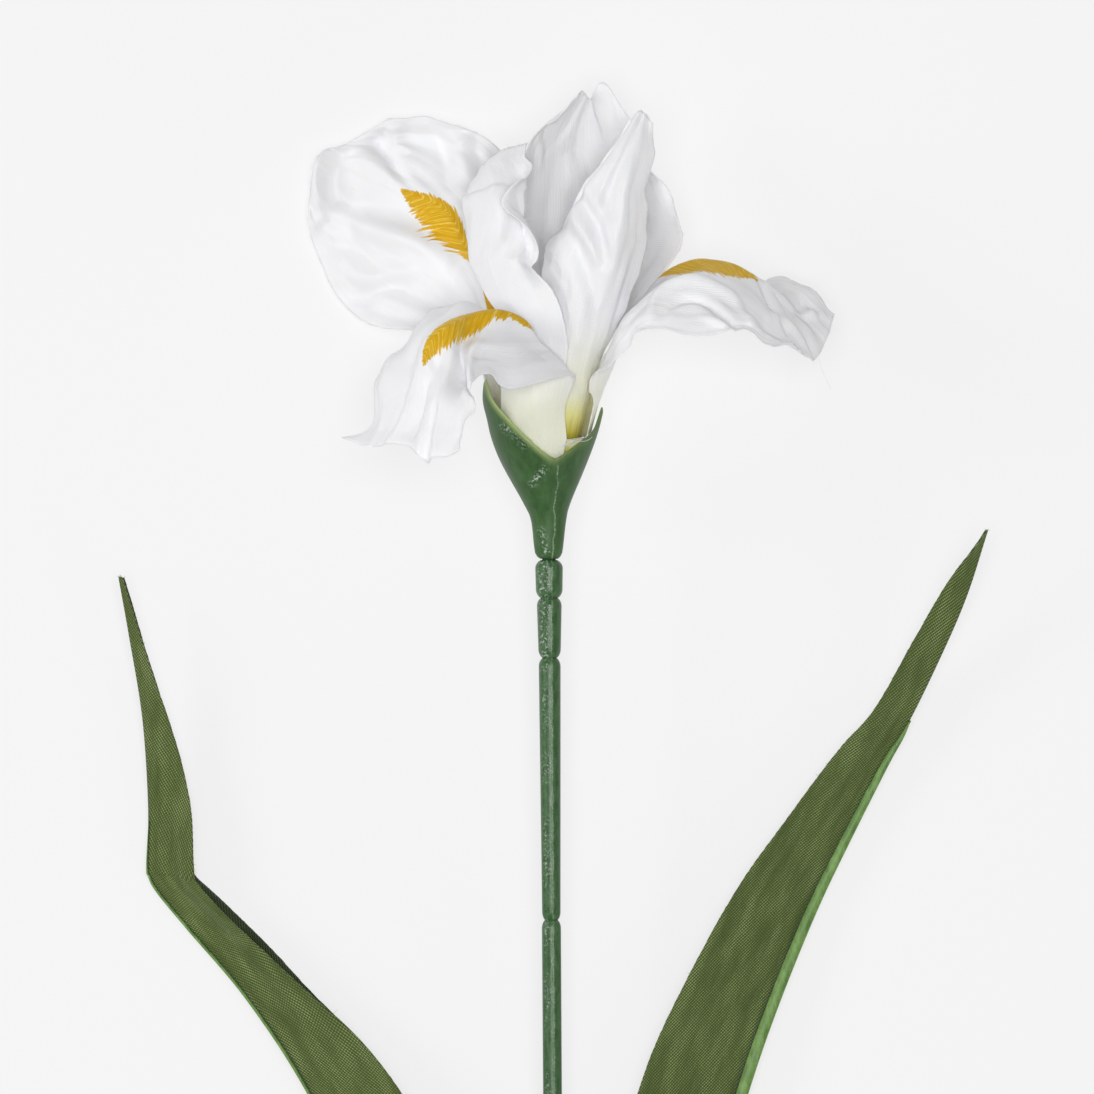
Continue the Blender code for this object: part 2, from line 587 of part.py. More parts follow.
def main():
    """Build every piece and lay the flower down."""
    for old in list(bpy.data.objects):
        bpy.data.objects.remove(old, do_unlink=True)
    add_stem()
    add_stem_wire()
    add_calyx()
    add_petal_hub()
    cloth_layer("falls", (RIGHT_FALL, FRONT_LEFT_FALL, REAR_LEFT_FALL), FALL_FUNNEL, "petal_white")
    cloth_layer("standards", (FRONT_STANDARD, LEFT_STANDARD, REAR_STANDARD), STANDARD_FUNNEL, "petal_white")
    add_leaf("leaf_left", LEFT_LEAF)
    add_leaf("leaf_right", RIGHT_LEAF)
    add_rib("leaf_rib_left", LEFT_LEAF, -1.0, LEFT_RIB_WIDTH)
    add_rib("leaf_rib_right", RIGHT_LEAF, 1.0, RIGHT_RIB_WIDTH)
    add_collar()
    lay_down(list(bpy.data.objects))


main()
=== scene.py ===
"""Looks of a single-stem made iris: woven petals, moulded calyx and stem, folded cloth leaves.

Points are worked out in the flower's own axes, in millimetres: u to the right, v along the stem
towards the bloom and w up out of the table, with 0, 0, 0 at the foot of the calyx. in_frame then
leans them back and sets them down where the frame's solids lie.
"""

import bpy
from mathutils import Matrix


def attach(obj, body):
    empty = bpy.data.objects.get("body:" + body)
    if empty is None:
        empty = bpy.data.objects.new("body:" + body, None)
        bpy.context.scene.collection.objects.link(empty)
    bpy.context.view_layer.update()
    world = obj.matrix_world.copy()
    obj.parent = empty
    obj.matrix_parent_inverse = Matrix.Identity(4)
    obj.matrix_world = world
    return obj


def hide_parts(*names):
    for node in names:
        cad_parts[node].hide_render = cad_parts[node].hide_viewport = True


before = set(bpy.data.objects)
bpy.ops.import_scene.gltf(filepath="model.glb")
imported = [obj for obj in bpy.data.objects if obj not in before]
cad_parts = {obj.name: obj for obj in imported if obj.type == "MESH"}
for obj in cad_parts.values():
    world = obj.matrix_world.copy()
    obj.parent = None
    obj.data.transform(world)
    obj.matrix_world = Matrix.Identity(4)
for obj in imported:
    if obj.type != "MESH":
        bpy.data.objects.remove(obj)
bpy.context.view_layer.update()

import math
from dataclasses import dataclass

import bmesh
import bpy
import numpy as np
from mathutils import Matrix, Vector

bl_info = {
    "name": "Made iris",
    "version": (1, 0, 0),
    "blender": (4, 5, 0),
    "location": "3D View > Sidebar > Iris",
    "description": "Dresses a single-stem made iris in cloth petals, moulded green parts and cloth leaves",
    "category": "Add Mesh",
}

MM = 0.001

# How the flower lies: its lean about the calyx's foot, and where that foot is
LEAN = math.radians(3.0)
CALYX_FOOT_AT = np.array((-0.00089, 0.17981, 0.02729))

# The photograph's frame: its side in pixels, one pixel in millimetres, and the pixel at u 0, v 0
PHOTO_SIDE = 1094
PIXEL = 0.25
AXIS_PIXEL = (549.0, 560.0)
CAMERA_DISTANCE = 2.0
SENSOR = 36.0

# Lights: name, direction in the flower's axes, side in metres and power in watts
LIGHTS = (
    ("front_light", (0.0, 0.0, 1.0), 0.65, 15.8),
    ("left_light", (-1.0, 0.2, 0.55), 0.6, 7.2),
    ("right_light", (0.7, -0.8, 0.6), 0.65, 2.4),
)
LIGHT_DISTANCE = 1.7
SURROUND_STRENGTH = 0.24
TABLE_HALF = 8.0
TABLE_DROP = 0.0002

# Stem: how far it drifts left to each millimetre up, its cut end, the wire's bore and the spigot
STEM_DRIFT = -0.0066
STEM_BOTTOM = -480.0
BORE_RADIUS = 1.1
BORE_TOP = 2.0
SPIGOT_RADIUS = 1.7
SPIGOT_TOP = 6.0
SPIGOT_CHAMFER = 0.3
STEM_SIDES = 64
# Turn of the stem's parting line, half width of its ridge, and the v where the short beads end
STEM_SEAM = math.radians(76.0)
STEM_SEAM_WIDTH = 0.24
BEADS_END = -27.0
# Joints of the stem from the top down: v of the lower neck, neck radius, radius above and below
STEM_JOINTS = (
    (0.0, 2.0, 2.0, 2.0),
    (-9.5, 2.1, 3.5, 3.3),
    (-24.5, 1.75, 3.15, 2.75),
    (-90.0, 1.6, 2.75, 2.3),
    (-155.0, 1.7, 2.4, 2.35),
    (-268.0, 1.7, 2.4, 2.4),
    (-335.0, 1.7, 2.4, 2.4),
    (-405.0, 1.7, 2.4, 2.4),
    (STEM_BOTTOM, 2.2, 2.4, 2.3),
)
# Length of the rounding at each end of a joint
SHOULDER = 2.1
# Scuffs run down the stem left of its parting line, in the band where the light's highlight falls, so
# their pale specks are partly painted highlight: angle from that line, and half width, in radians
SCUFF_AND_HIGHLIGHT_TURN = 0.8
SCUFF_AND_HIGHLIGHT_SPREAD = 0.45

# Calyx: v, outer radius and how far its middle stands to the left
CALYX_PROFILE = (
    (0.3, 2.7, 0.0),
    (2.2, 3.5, -0.1),
    (9.8, 4.4, -0.1),
    (14.0, 5.8, -0.5),
    (22.0, 9.7, -1.1),
    (26.5, 11.7, -1.3),
    (31.0, 13.3, -1.3),
    (35.0, 14.3, -1.2),
    (40.0, 15.3, -1.3),
    (45.3, 14.9, -1.4),
)
# The cup's bottom, its wall, the v of its floor and the radius of the bore under that
CALYX_BOTTOM = 0.3
CALYX_WALL = 0.9
CALYX_FLOOR = 8.5
CALYX_BORE = SPIGOT_RADIUS + 0.3
CALYX_SIDES = 176
# Turn of the calyx's parting line and half width of its ridge
CALYX_SEAM = math.radians(70.0)
CALYX_SEAM_WIDTH = 0.19
# The calyx's outside is rounded in under this v, by this much at the bottom
FOOT_ROUND_TOP = 1.8
FOOT_ROUND = 0.5
# Calyx rim: share of the way across the cup, from -1 at its left side to 1 at its right, and v
RIM_LINE = (
    (-1.0, 45.4), (-0.86, 39.8), (-0.74, 37.0), (-0.56, 33.7), (-0.32, 30.4), (-0.08, 27.6), (0.14, 25.8),
    (0.27, 25.2), (0.4, 26.0), (0.62, 28.0), (0.88, 30.9), (0.97, 33.6), (1.0, 38.4),
)
# Trimmed edge from its inner side out: inset from the outside, drop below the rim and paleness
RIM_BEVEL = (
    (0.78, 0.25, 0.9), (0.7, 0.08, 0.95), (0.58, 0.0, 1.0), (0.44, 0.1, 1.0),
    (0.3, 0.34, 0.9), (0.18, 0.66, 0.75), (0.08, 1.0, 0.55), (0.02, 1.35, 0.38),
)
# Scuffs on the front of the calyx: the two ends of each as u and v, and the half width of all
CALYX_SCUFFS = (
    ((-11.4, 33.4), (-6.0, 28.4)),
    ((-4.0, 19.2), (-1.0, 22.6)),
    ((-2.0, 7.2), (-0.6, 1.9)),
)
CALYX_SCUFF_WIDTH = 0.9

# Funnels of the two cloth layers: radius and v of each ring
BLOOM_SHIFT = -1.2
FALL_FUNNEL = ((2.0, 13.8), (3.5, 14.2), (4.7, 16.3), (7.8, 22.3), (9.9, 26.7), (11.1, 30.0))
STANDARD_FUNNEL = ((2.0, 15.0), (3.0, 15.3), (4.0, 17.2), (6.1, 22.3), (7.7, 26.7), (8.9, 30.5))
RINGS = len(FALL_FUNNEL)
FUNNEL_STEPS = 3
LOBE_HALF_ANGLE = 60.0
# Lengths of a petal's soft crumples, of its fine ones and of the waves in its margin
CRUMPLE_LENGTH = 15.0
FINE_CRUMPLE_LENGTH = 5.5
MARGIN_LENGTH = 11.0
MARGIN_WIDTH = 4.0
# How far a stroke of the beard runs towards the tip to each millimetre out, on its two sides
STROKE_RISE = (1.6, 1.1)
# A sheet's middle lies at least this share of its thickness over the table
REST_SHARE = 0.6
# Frayed threads: radius of each kind, and how many stand on each edge
PETAL_THREAD_RADIUS = 0.035
LEAF_THREAD_RADIUS = 0.05
STRAY_THREAD_RADIUS = 0.05
PETAL_EDGE_THREADS = 110
LEAF_EDGE_THREADS = 70
LONGEST_THREAD = 2.4


@dataclass
class Roll:
    """A margin rolled over onto the face that shows, or away from it where its turn is negative.

    It runs between two places s on edge 0 or 1. Radius of the bend and width of the flat part
    past it are in millimetres, the turn in degrees, all at the roll's middle.
    """

    edge: int
    start: float
    end: float
    radius: float
    flat: float
    turn: float


@dataclass
class Lobe:
    """One lobe of a die-cut cloth layer.

    A place on it is s from 0 at the funnel's rim to 1 at the tip, and t from 0 to 1 across. A fold
    is a line of such places, its half width and its height in millimetres, on the face that shows.
    A lap is a line like a fold's whose left side stands up by its height and slopes away over its
    width. A pleat is a pitch and a height in millimetres. A slit is the place s where the cut beside
    edge 0 closes up, and the share of the width that it takes off just above its round end. Each
    beard row is s, the two edges t, and the length of the teeth at each in millimetres. Cream and
    olive are the places s where each dye starts to fade and where it ends.
    """

    middle: float
    side: int
    face: int
    net: tuple
    folds: tuple = ()
    laps: tuple = ()
    rolls: tuple = ()
    slit: tuple = ()
    beard: tuple = ()
    beard_axis: float = 0.5
    pleats: tuple = ((9.0, 0.6), (3.6, 0.12))
    crumple: float = 0.35
    margin: float = 0.7
    seed: int = 1
    cream: tuple = (0.06, 0.3)
    olive: tuple = (-0.35, -0.08)


REAR_LEFT_FALL = Lobe(
    middle=240,
    side=-1,
    face=1,
    net=(
        ((-14.6, 41, -2.2), (-12.6, 43, -8), (-8, 43.5, -12), (-2.5, 44, -13.5), (3, 43, -12.5)),
        ((-20, 51, -6.5), (-17.5, 55, -12.5), (-13, 58, -16), (-7.5, 60, -17.5), (-1, 60, -17.5)),
        ((-32.2, 57.4, -15), (-26.5, 63.8, -18), (-19.5, 74.5, -19), (-12, 79, -21.5), (-4, 81, -23.5)),
        (
            (-42.4, 58.6, -21.5), (-36.2, 69.4, -20.5), (-27.2, 84.6, -21),
            (-18.2, 92.5, -24), (-8.5, 99, -27),
        ),
        (
            (-51.6, 64, -27.5), (-45.4, 75.8, -24), (-36.4, 93, -23.5),
            (-26.8, 101.8, -27.5), (-17.7, 107.8, -26.5),
        ),
        (
            (-57.8, 75.4, -28.5), (-52.6, 85, -27.5), (-45.2, 98.2, -26),
            (-38.6, 105.4, -29.5), (-30.3, 111.7, -25.5),
        ),
        (
            (-61.3, 86, -26), (-60.6, 94.4, -27.6), (-57.4, 102.6, -28.4),
            (-50.2, 106.3, -28), (-40.5, 111.6, -27.5),
        ),
    ),
    beard=(
        (0.28, 0.42, 0.53, 0.0, 0.0), (0.33, 0.43, 0.525, 0.0, 0.0), (0.38, 0.485, 0.495, 0.0, 0.0),
        (0.43, 0.495, 0.50, 0.0, 0.0), (0.47, 0.455, 0.53, 0.2, 0.8), (0.51, 0.425, 0.56, 0.5, 1.8),
        (0.56, 0.39, 0.575, 0.8, 2.2), (0.61, 0.405, 0.57, 0.8, 2.2), (0.65, 0.435, 0.555, 0.7, 1.6),
        (0.69, 0.465, 0.53, 0.5, 0.8), (0.735, 0.495, 0.505, 0.0, 0.0),
    ),
    beard_axis=0.25,
    folds=(
        (((0.96, 0.11), (0.87, 0.33), (0.79, 0.43), (0.72, 0.46)), 1.5, -1.4),
        (((0.97, 0.00), (0.87, 0.22), (0.78, 0.33)), 2.4, 1.3),
        (((0.98, 0.22), (0.90, 0.42), (0.80, 0.50)), 2.6, 0.9),
        (((0.50, 0.58), (0.66, 0.63), (0.83, 0.70), (0.93, 0.75)), 2.2, 1.3),
        (((0.50, 0.52), (0.70, 0.57), (0.88, 0.64)), 3.4, -1.3),
        (((1.00, 0.40), (1.00, 0.56), (0.98, 0.70), (0.94, 0.84)), 3.2, 3.0),
        (((0.95, 0.48), (0.945, 0.58), (0.93, 0.68), (0.89, 0.77)), 2.6, -1.5),
        (((0.90, 0.60), (0.86, 0.68), (0.80, 0.76)), 2.6, -1.0),
        (((0.74, 0.00), (0.71, 0.14)), 1.0, 0.8),
        (((0.86, 0.02), (0.74, 0.21), (0.64, 0.33)), 2.0, -1.2),
        (((0.79, 0.02), (0.70, 0.16), (0.60, 0.29)), 2.4, 1.0),
        (((0.72, 0.03), (0.64, 0.15), (0.56, 0.26)), 1.8, -0.8),
        (((0.90, 0.94), (0.80, 0.80), (0.64, 0.68)), 2.0, -0.8),
        (((0.80, 0.96), (0.72, 0.84), (0.58, 0.70)), 1.8, 0.7),
        (((0.72, 0.97), (0.64, 0.83), (0.52, 0.70)), 2.0, -0.8),
    ),
    seed=11,
)
FRONT_LEFT_FALL = Lobe(
    middle=120,
    side=-1,
    face=1,
    net=(
        ((3.9, 38, 11), (1.0, 38, 13.2), (-3.2, 38, 14.2), (-8.2, 38, 12.2), (-12, 38, 6.6)),
        ((6.3, 44.8, 12.5), (2.2, 46.5, 14.8), (-3.5, 47.8, 15.5), (-8.6, 47.5, 13), (-12.6, 47, 7)),
        ((5, 45.9, 16.5), (0, 52.2, 16.5), (-6.2, 57.2, 16.2), (-11.5, 57.6, 12), (-15.3, 56.6, 5.5)),
        ((-1, 44.5, 23.5), (-3.8, 52.2, 21), (-10.5, 60.5, 19.2), (-15, 60.4, 13), (-18.8, 60.4, 5)),
        ((-8.3, 42.4, 30), (-10.8, 51, 27), (-17, 61.5, 23), (-21, 62.8, 15), (-25, 63.2, 5)),
        ((-16.2, 45.2, 36), (-19.5, 51.5, 32), (-23.5, 57.8, 28.5), (-27.5, 60.2, 19), (-31.3, 59.3, 7)),
        ((-19.4, 42.2, 42), (-22.5, 46, 36), (-29, 52, 32), (-33, 53.6, 21.5), (-37.3, 52, 9)),
        ((-18.8, 38.6, 47), (-24.8, 40.6, 39), (-32, 44, 35.5), (-37, 45.5, 23.5), (-43, 45.2, 11.5)),
        ((-22, 33.2, 48.5), (-27.4, 33.6, 41), (-33.6, 35.8, 38), (-38.2, 35.8, 26.8), (-43.2, 34.6, 16.5)),
        ((-22, 26.8, 50), (-29.6, 24.2, 43.5), (-35.2, 28.2, 39.5), (-42.5, 27.8, 29.5), (-51.2, 30.3, 22)),
    ),
    beard=(
        (0.31, 0.57, 0.60, 0.0, 0.0), (0.34, 0.55, 0.60, 0.0, 0.0), (0.38, 0.52, 0.60, 0.1, 0.2),
        (0.42, 0.495, 0.58, 0.3, 0.6), (0.48, 0.47, 0.59, 0.5, 1.2), (0.55, 0.44, 0.63, 0.6, 1.6),
        (0.62, 0.44, 0.65, 0.6, 1.8), (0.66, 0.44, 0.63, 0.6, 1.8), (0.69, 0.45, 0.58, 0.6, 1.4),
        (0.72, 0.46, 0.53, 0.3, 0.8), (0.755, 0.485, 0.495, 0.0, 0.0),
    ),
    beard_axis=0.3,
    folds=(
        (((0.53, 0.64), (0.59, 0.76), (0.65, 0.88), (0.68, 0.97)), 1.5, 1.4),
        (((0.55, 0.58), (0.63, 0.71), (0.70, 0.85), (0.74, 0.97)), 1.9, -1.6),
        (((0.61, 0.60), (0.68, 0.66), (0.79, 0.74), (0.87, 0.79), (0.98, 0.83)), 2.0, 1.6),
        (((0.73, 0.58), (0.84, 0.54), (0.93, 0.51), (1.00, 0.50)), 3.2, -2.6),
        (((0.72, 0.22), (0.86, 0.18), (0.97, 0.24)), 4.0, 1.8),
        (((0.78, 0.44), (0.88, 0.42), (0.98, 0.38)), 1.5, 0.8),
        (((0.76, 0.50), (0.85, 0.48), (0.95, 0.45)), 1.2, -0.7),
        (((0.84, 0.34), (0.92, 0.35), (0.99, 0.32)), 1.4, -0.8),
        (((0.71, 0.78), (0.81, 0.90), (0.94, 0.95)), 2.2, -1.3),
        (((0.36, 0.84), (0.44, 0.88), (0.52, 0.97)), 2.2, 0.9),
    ),
    crumple=0.7,
    seed=12,
)
RIGHT_FALL = Lobe(
    middle=0,
    side=1,
    face=1,
    net=(
        ((9.4, 38.5, 8.6), (11.6, 39, 5.2), (12.3, 39, 0), (11.2, 39, -5.4), (8.2, 39, -9.4)),
        ((10.8, 45.5, 10.6), (13.4, 47, 6.6), (15.6, 47.5, 0), (14.8, 47.5, -6.8), (11, 47.5, -11.6)),
        ((16.2, 48.6, 14.5), (15.8, 54, 9), (18.8, 56, -0.5), (18.4, 55, -8.6), (15.2, 53, -14.5)),
        ((20.8, 55.2, 17.5), (20.6, 61.2, 11), (24, 65, -0.5), (24.2, 62.2, -10.6), (21.2, 57, -17.5)),
        ((27, 57.4, 20.5), (27.2, 65, 13), (30.6, 72.3, 0), (31.4, 67.6, -12.2), (29.2, 59.2, -21)),
        ((34.2, 55.4, 24), (35.2, 65.2, 16), (38.2, 75.3, 0.5), (39, 70.2, -13.4), (37.6, 60.6, -23.5)),
        ((41.8, 56, 25.5), (42.8, 64.2, 17.5), (45.8, 73.2, 1), (46.6, 69.4, -13.6), (46.8, 63.6, -24.5)),
        ((47.8, 56.8, 23), (49.6, 60.8, 17.5), (52.2, 69.4, 2.5), (54.2, 68.6, -11), (56.2, 70.6, -20.5)),
        ((54, 53.4, 21.5), (56, 56.6, 16), (58.2, 62.2, 4.5), (61.2, 65.2, -7), (63.4, 70.2, -15)),
        ((60.6, 53.8, 16), (62.4, 51.8, 13), (66.2, 50, 7), (69.6, 55.6, -1), (71.6, 61.6, -7.5)),
    ),
    beard=(
        (0.44, 0.495, 0.505, 0.0, 0.0), (0.50, 0.42, 0.58, 0.7, 0.7), (0.55, 0.385, 0.60, 1.3, 1.3),
        (0.60, 0.38, 0.60, 1.3, 1.3), (0.65, 0.38, 0.60, 1.3, 1.3), (0.69, 0.39, 0.59, 1.3, 1.3),
        (0.73, 0.42, 0.56, 1.0, 1.0), (0.80, 0.50, 0.51, 0.0, 0.0),
    ),
    folds=(
        (((0.82, 0.52), (0.88, 0.57), (0.93, 0.70), (0.97, 0.87)), 1.3, 1.5),
        (((0.84, 0.60), (0.90, 0.70), (0.94, 0.84)), 3.2, -2.0),
        (((0.80, 0.50), (0.86, 0.44), (0.93, 0.37)), 1.3, -1.3),
        (((0.52, 0.12), (0.57, 0.23), (0.64, 0.24), (0.71, 0.14), (0.77, 0.03)), 1.5, -1.6),
        (((0.48, 0.08), (0.50, 0.27), (0.59, 0.33), (0.72, 0.30), (0.80, 0.20)), 1.9, 1.3),
        (((0.64, 0.12), (0.70, 0.07), (0.76, 0.03)), 1.0, 0.8),
        (((0.84, 0.16), (0.88, 0.24), (0.97, 0.28)), 1.6, -1.0),
        (((0.86, 0.34), (0.92, 0.42), (0.98, 0.46)), 1.5, 1.0),
    ),
    slit=(0.14, 0.32),
    crumple=0.55,
    seed=13,
    olive=(-0.15, 0.05),
)
FRONT_STANDARD = Lobe(
    middle=60,
    side=1,
    face=-1,
    net=(
        ((-2.6, 41, 7.8), (1.4, 41, 9.3), (5.2, 41, 9), (8.4, 41, 6.8), (10.2, 41, 3)),
        ((-3, 54, 8.2), (2.4, 54, 11), (7.6, 54, 11.8), (11.8, 54, 9.4), (14.4, 54, 4.6)),
        ((-2.6, 67.5, 8), (4, 67.5, 13), (10.4, 67, 15.6), (15.8, 67, 13.6), (20.4, 66.5, 7)),
        ((-0.2, 78.3, 8.5), (5.6, 79, 15.5), (12.2, 80, 18), (18.8, 80, 18.4), (24, 80, 10.5)),
        ((4.6, 88, 11.5), (9.4, 90, 17), (14.4, 91.5, 18.2), (19.6, 92, 19.2), (23.6, 91.5, 13)),
        ((11.4, 98.5, 14.5), (14.6, 100, 17.6), (18, 101, 18), (21.8, 100.5, 18), (25.4, 99.5, 14)),
        (
            (19.6, 109.6, 15.5), (21.2, 110.8, 16.4), (22.8, 111.4, 16.6),
            (24.2, 110.4, 16.2), (25.4, 108.2, 15),
        ),
    ),
    folds=(
        (((0.70, 0.09), (0.61, 0.31), (0.54, 0.46), (0.48, 0.58)), 1.4, 0.9),
        (((0.73, 0.13), (0.65, 0.37), (0.58, 0.51), (0.50, 0.62)), 1.3, -1.3),
        (((0.75, 0.20), (0.66, 0.46), (0.58, 0.60), (0.50, 0.68)), 2.0, 0.7),
        (((0.65, 0.04), (0.57, 0.26), (0.49, 0.40), (0.40, 0.54)), 2.0, -1.1),
        (((0.55, 0.08), (0.48, 0.26), (0.38, 0.42)), 2.2, 0.6),
        (((0.99, 0.10), (0.88, 0.08), (0.76, 0.04), (0.64, 0.03)), 2.0, -1.3),
        (((0.95, 0.50), (0.83, 0.60), (0.70, 0.66), (0.56, 0.66)), 2.6, 0.5),
        (((0.90, 0.78), (0.78, 0.78), (0.66, 0.78), (0.52, 0.74), (0.36, 0.72)), 1.6, -0.5),
        (((0.56, 0.86), (0.42, 0.80), (0.28, 0.84)), 1.8, 0.7),
    ),
    seed=21,
    cream=(0.12, 0.4),
    olive=(-0.02, 0.19),
)
REAR_STANDARD = Lobe(
    middle=300,
    side=-1,
    face=1,
    net=(
        ((-6, 41, -7.8), (-1.6, 41, -9.8), (3.4, 41, -9.4), (7.6, 41, -6.8), (9.8, 41, -2.6)),
        ((-6.5, 54, -9.2), (-0.5, 54, -12.4), (5.6, 54, -12.6), (11.2, 54, -9.6), (14.6, 54, -3.2)),
        ((-7, 67.5, -7.5), (1, 68, -13.6), (9.6, 68, -15.6), (18, 67.5, -12), (24.6, 66.5, -3)),
        ((-7.2, 80, -4.5), (1.5, 80, -13.6), (12, 80, -17.6), (24, 80, -12), (32.4, 79.5, -2)),
        ((-6.6, 92, -2), (1.2, 93, -12), (11.6, 94, -17), (22.6, 93.6, -12), (30.2, 91.2, -4)),
        ((-5, 103.6, -1), (1.8, 106, -9), (9.6, 106.5, -14), (17.6, 106, -10), (24.4, 100.6, -6)),
        ((3.2, 111.2, -3.5), (7.6, 117.6, -4), (10.4, 115.8, -9.5), (13.6, 119.6, -5), (19.8, 111.2, -6)),
    ),
    folds=(
        (((0.82, 0.68), (0.77, 0.62), (0.70, 0.56)), 3.2, 0.7),
        (((0.90, 0.95), (0.84, 0.88), (0.77, 0.86)), 1.4, 0.6),
    ),
    laps=(
        (((0.82, 0.80), (0.87, 0.70), (0.92, 0.66), (0.99, 0.64)), 4.5, 0.8),
        (((0.86, 0.38), (0.90, 0.38), (0.95, 0.41), (1.0, 0.44)), 5.0, 1.0),
    ),
    pleats=((9.0, 0.45), (3.6, 0.08)),
    margin=0.35,
    seed=22,
    # Cream reaches further up here than on the other lobes: dye, and painted bounce light from the olive
    # foot.
    cream=(0.12, 0.5),
    olive=(0.05, 0.25),
)
LEFT_STANDARD = Lobe(
    middle=180,
    side=1,
    face=-1,
    net=(
        ((-7.2, 40, -6.8), (-10.6, 40, -3.4), (-11.4, 40, 1), (-9.6, 40, 5.4), (-5.4, 40, 8.4)),
        ((-9.2, 48, -8), (-12.4, 48, -4), (-12.8, 48, 2), (-8, 48, 8), (3.6, 47, 11.2)),
        ((-6.6, 57, -8.6), (-8.8, 57, -3.6), (-9.6, 58, 4), (-5.6, 58, 11), (4.2, 56.6, 13.6)),
        ((-12.8, 66, -8.8), (-15.2, 66, -3), (-14.6, 67, 5), (-8.8, 67, 12.4), (1.2, 66.4, 14.6)),
        ((-18, 75, -8.4), (-20, 75, -2), (-17.6, 76, 6.6), (-11.6, 75.5, 12.8), (-4.6, 73.6, 12)),
        ((-18.6, 84, -8), (-21.2, 83, -1), (-18, 85, 7.4), (-12, 84, 12.6), (-6.4, 83, 9)),
        ((-17.2, 93, -8), (-21.2, 90, -1), (-18, 92.4, 6), (-12.6, 93.8, 9.4), (-6.4, 92, 8)),
        ((-12, 101, -8.4), (-16.6, 98.4, -4), (-16, 99.6, -0.5), (-11, 102.6, 1.5), (-5.6, 104, 3.2)),
    ),
    folds=(
        (((0.84, 0.86), (0.73, 0.78), (0.66, 0.82), (0.60, 0.90)), 1.6, 0.9),
        (((0.80, 0.96), (0.70, 0.90), (0.62, 0.97)), 2.0, -0.9),
        (((0.74, 0.56), (0.61, 0.59), (0.47, 0.60)), 2.2, 0.4),
        (((0.82, 0.70), (0.68, 0.68), (0.51, 0.70)), 2.2, -0.4),
    ),
    rolls=(Roll(1, 0.62, 0.96, 1.2, 7.5, 166.0),),
    laps=((((0.93, 0.08), (0.88, 0.30), (0.87, 0.55), (0.87, 0.80), (0.89, 0.97)), 5.0, -1.0),),
    pleats=((10.0, 0.45), (4.2, 0.06)),
    margin=0.35,
    seed=23,
    cream=(0.1, 0.34),
    olive=(0.03, 0.17),
)

# Long threads pulled out of the cut edges, from the edge to the loose end
STRAY_THREADS = (
    ((66.4, 52.6, 9.6), (67.6, 48.4, 9.0), (69.0, 45.0, 8.6), (70.2, 42.4, 8.0)),
    ((6.2, 46.0, 12.6), (6.6, 43.6, 12.6), (7.4, 41.6, 12.2), (8.3, 40.2, 11.4)),
    ((5.6, 45.8, 13.0), (5.9, 43.4, 13.4), (5.7, 41.0, 13.6)),
    ((2.6, 28.0, 12.4), (4.6, 28.9, 12.6), (7.0, 30.0, 12.2), (8.8, 30.5, 11.6), (10.4, 31.5, 10.8)),
    ((3.4, 28.4, 12.2), (5.6, 28.7, 12.4), (7.6, 29.6, 12.0), (8.6, 31.0, 11.4)),
    ((5.0, 28.0, 12.2), (7.2, 29.3, 11.9), (9.4, 29.7, 11.2), (10.8, 30.6, 10.4)),
)

# Leaves: each row is the free edge of the upper wing, the fold and the free edge of the lower wing
LEFT_LEAF = (
    ((-5, -221, 1.6), (-9.2, -222.5, -1), (-5.6, -223.5, -3.6)),
    ((-13, -191, -0.5), (-28, -195, -5.5), (-14, -193, -9.6)),
    ((-26, -156, -4), (-46, -163, -10.2), (-26.5, -159, -14.8)),
    ((-42, -127, -8), (-60.3, -133.6, -14.2), (-40.2, -131.5, -19.3)),
    ((-69.2, -100.9, -11.5), (-75.6, -110.4, -16.6), (-65.4, -103.2, -21.3)),
    ((-80.6, -89.4, -13.6), (-90.8, -92.6, -18.2), (-79.2, -89.6, -22.2)),
    ((-86.4, -83.4, -15.2), (-98.4, -83.6, -19.3), (-85.6, -83.4, -22.5)),
    ((-88.6, -80.6, -15.9), (-100.6, -79.8, -19.5), (-89.5, -79.8, -22.6)),
    ((-89.0, -77.0, -15.0), (-101.2, -77.0, -19.3), (-90.0, -77.0, -22.6)),
    ((-90.3, -61, -15.8), (-101, -61.5, -19), (-92.5, -61, -22.6)),
    ((-96.2, -39.5, -15.2), (-102.4, -39.8, -17.5), (-96.6, -39.5, -20.5)),
    ((-102.9, -18.9, -13.4), (-105.6, -19.2, -14.8), (-103.4, -18.9, -16.6)),
    ((-107.4, -4.6, -11.4), (-108.1, -4.4, -12), (-107.6, -4.6, -12.8)),
)
RIGHT_LEAF = (
    ((6.4, -219, 2.4), (11.2, -222.5, -1), (7.4, -222, -3.6)),
    ((12, -187, 0.5), (28, -190.5, -6), (13, -188.5, -10.3)),
    ((16.5, -157, -2.5), (39.6, -160.5, -10), (19.5, -158.5, -15.2)),
    ((23.6, -129.4, -5.5), (47, -134, -13.2), (27.2, -131, -18.5)),
    ((33.8, -106.8, -8.5), (55, -111.4, -15.6), (37.8, -108.2, -20.9)),
    ((47.4, -82.6, -11.5), (65, -87.6, -18), (50.9, -84.6, -22.4)),
    ((60.2, -64.8, -13.5), (74, -69.6, -19), (62.8, -66.6, -23.3)),
    ((73.6, -47.4, -14), (84.2, -50.6, -18.5), (75.3, -48.6, -23.2)),
    ((82, -37.6, -14), (90.6, -40.8, -17.5), (83, -38.2, -21.2)),
    ((93, -18.4, -11.5), (99.2, -22.8, -14.2), (93.9, -19, -17)),
    ((101, -4, -8.5), (105, -8.6, -10.2), (101.5, -4.6, -11.6)),
    ((109.4, 7.2, -5.6), (109.9, 7.3, -6.3), (109.6, 7.2, -7)),
)
# Each leaf: its side, rows, seed and the width of its rib
LEAVES = (("left", LEFT_LEAF, 31, 0.9), ("right", RIGHT_LEAF, 37, 3.2))
LEAF_ROWS = 300
WING_COLUMNS = 16
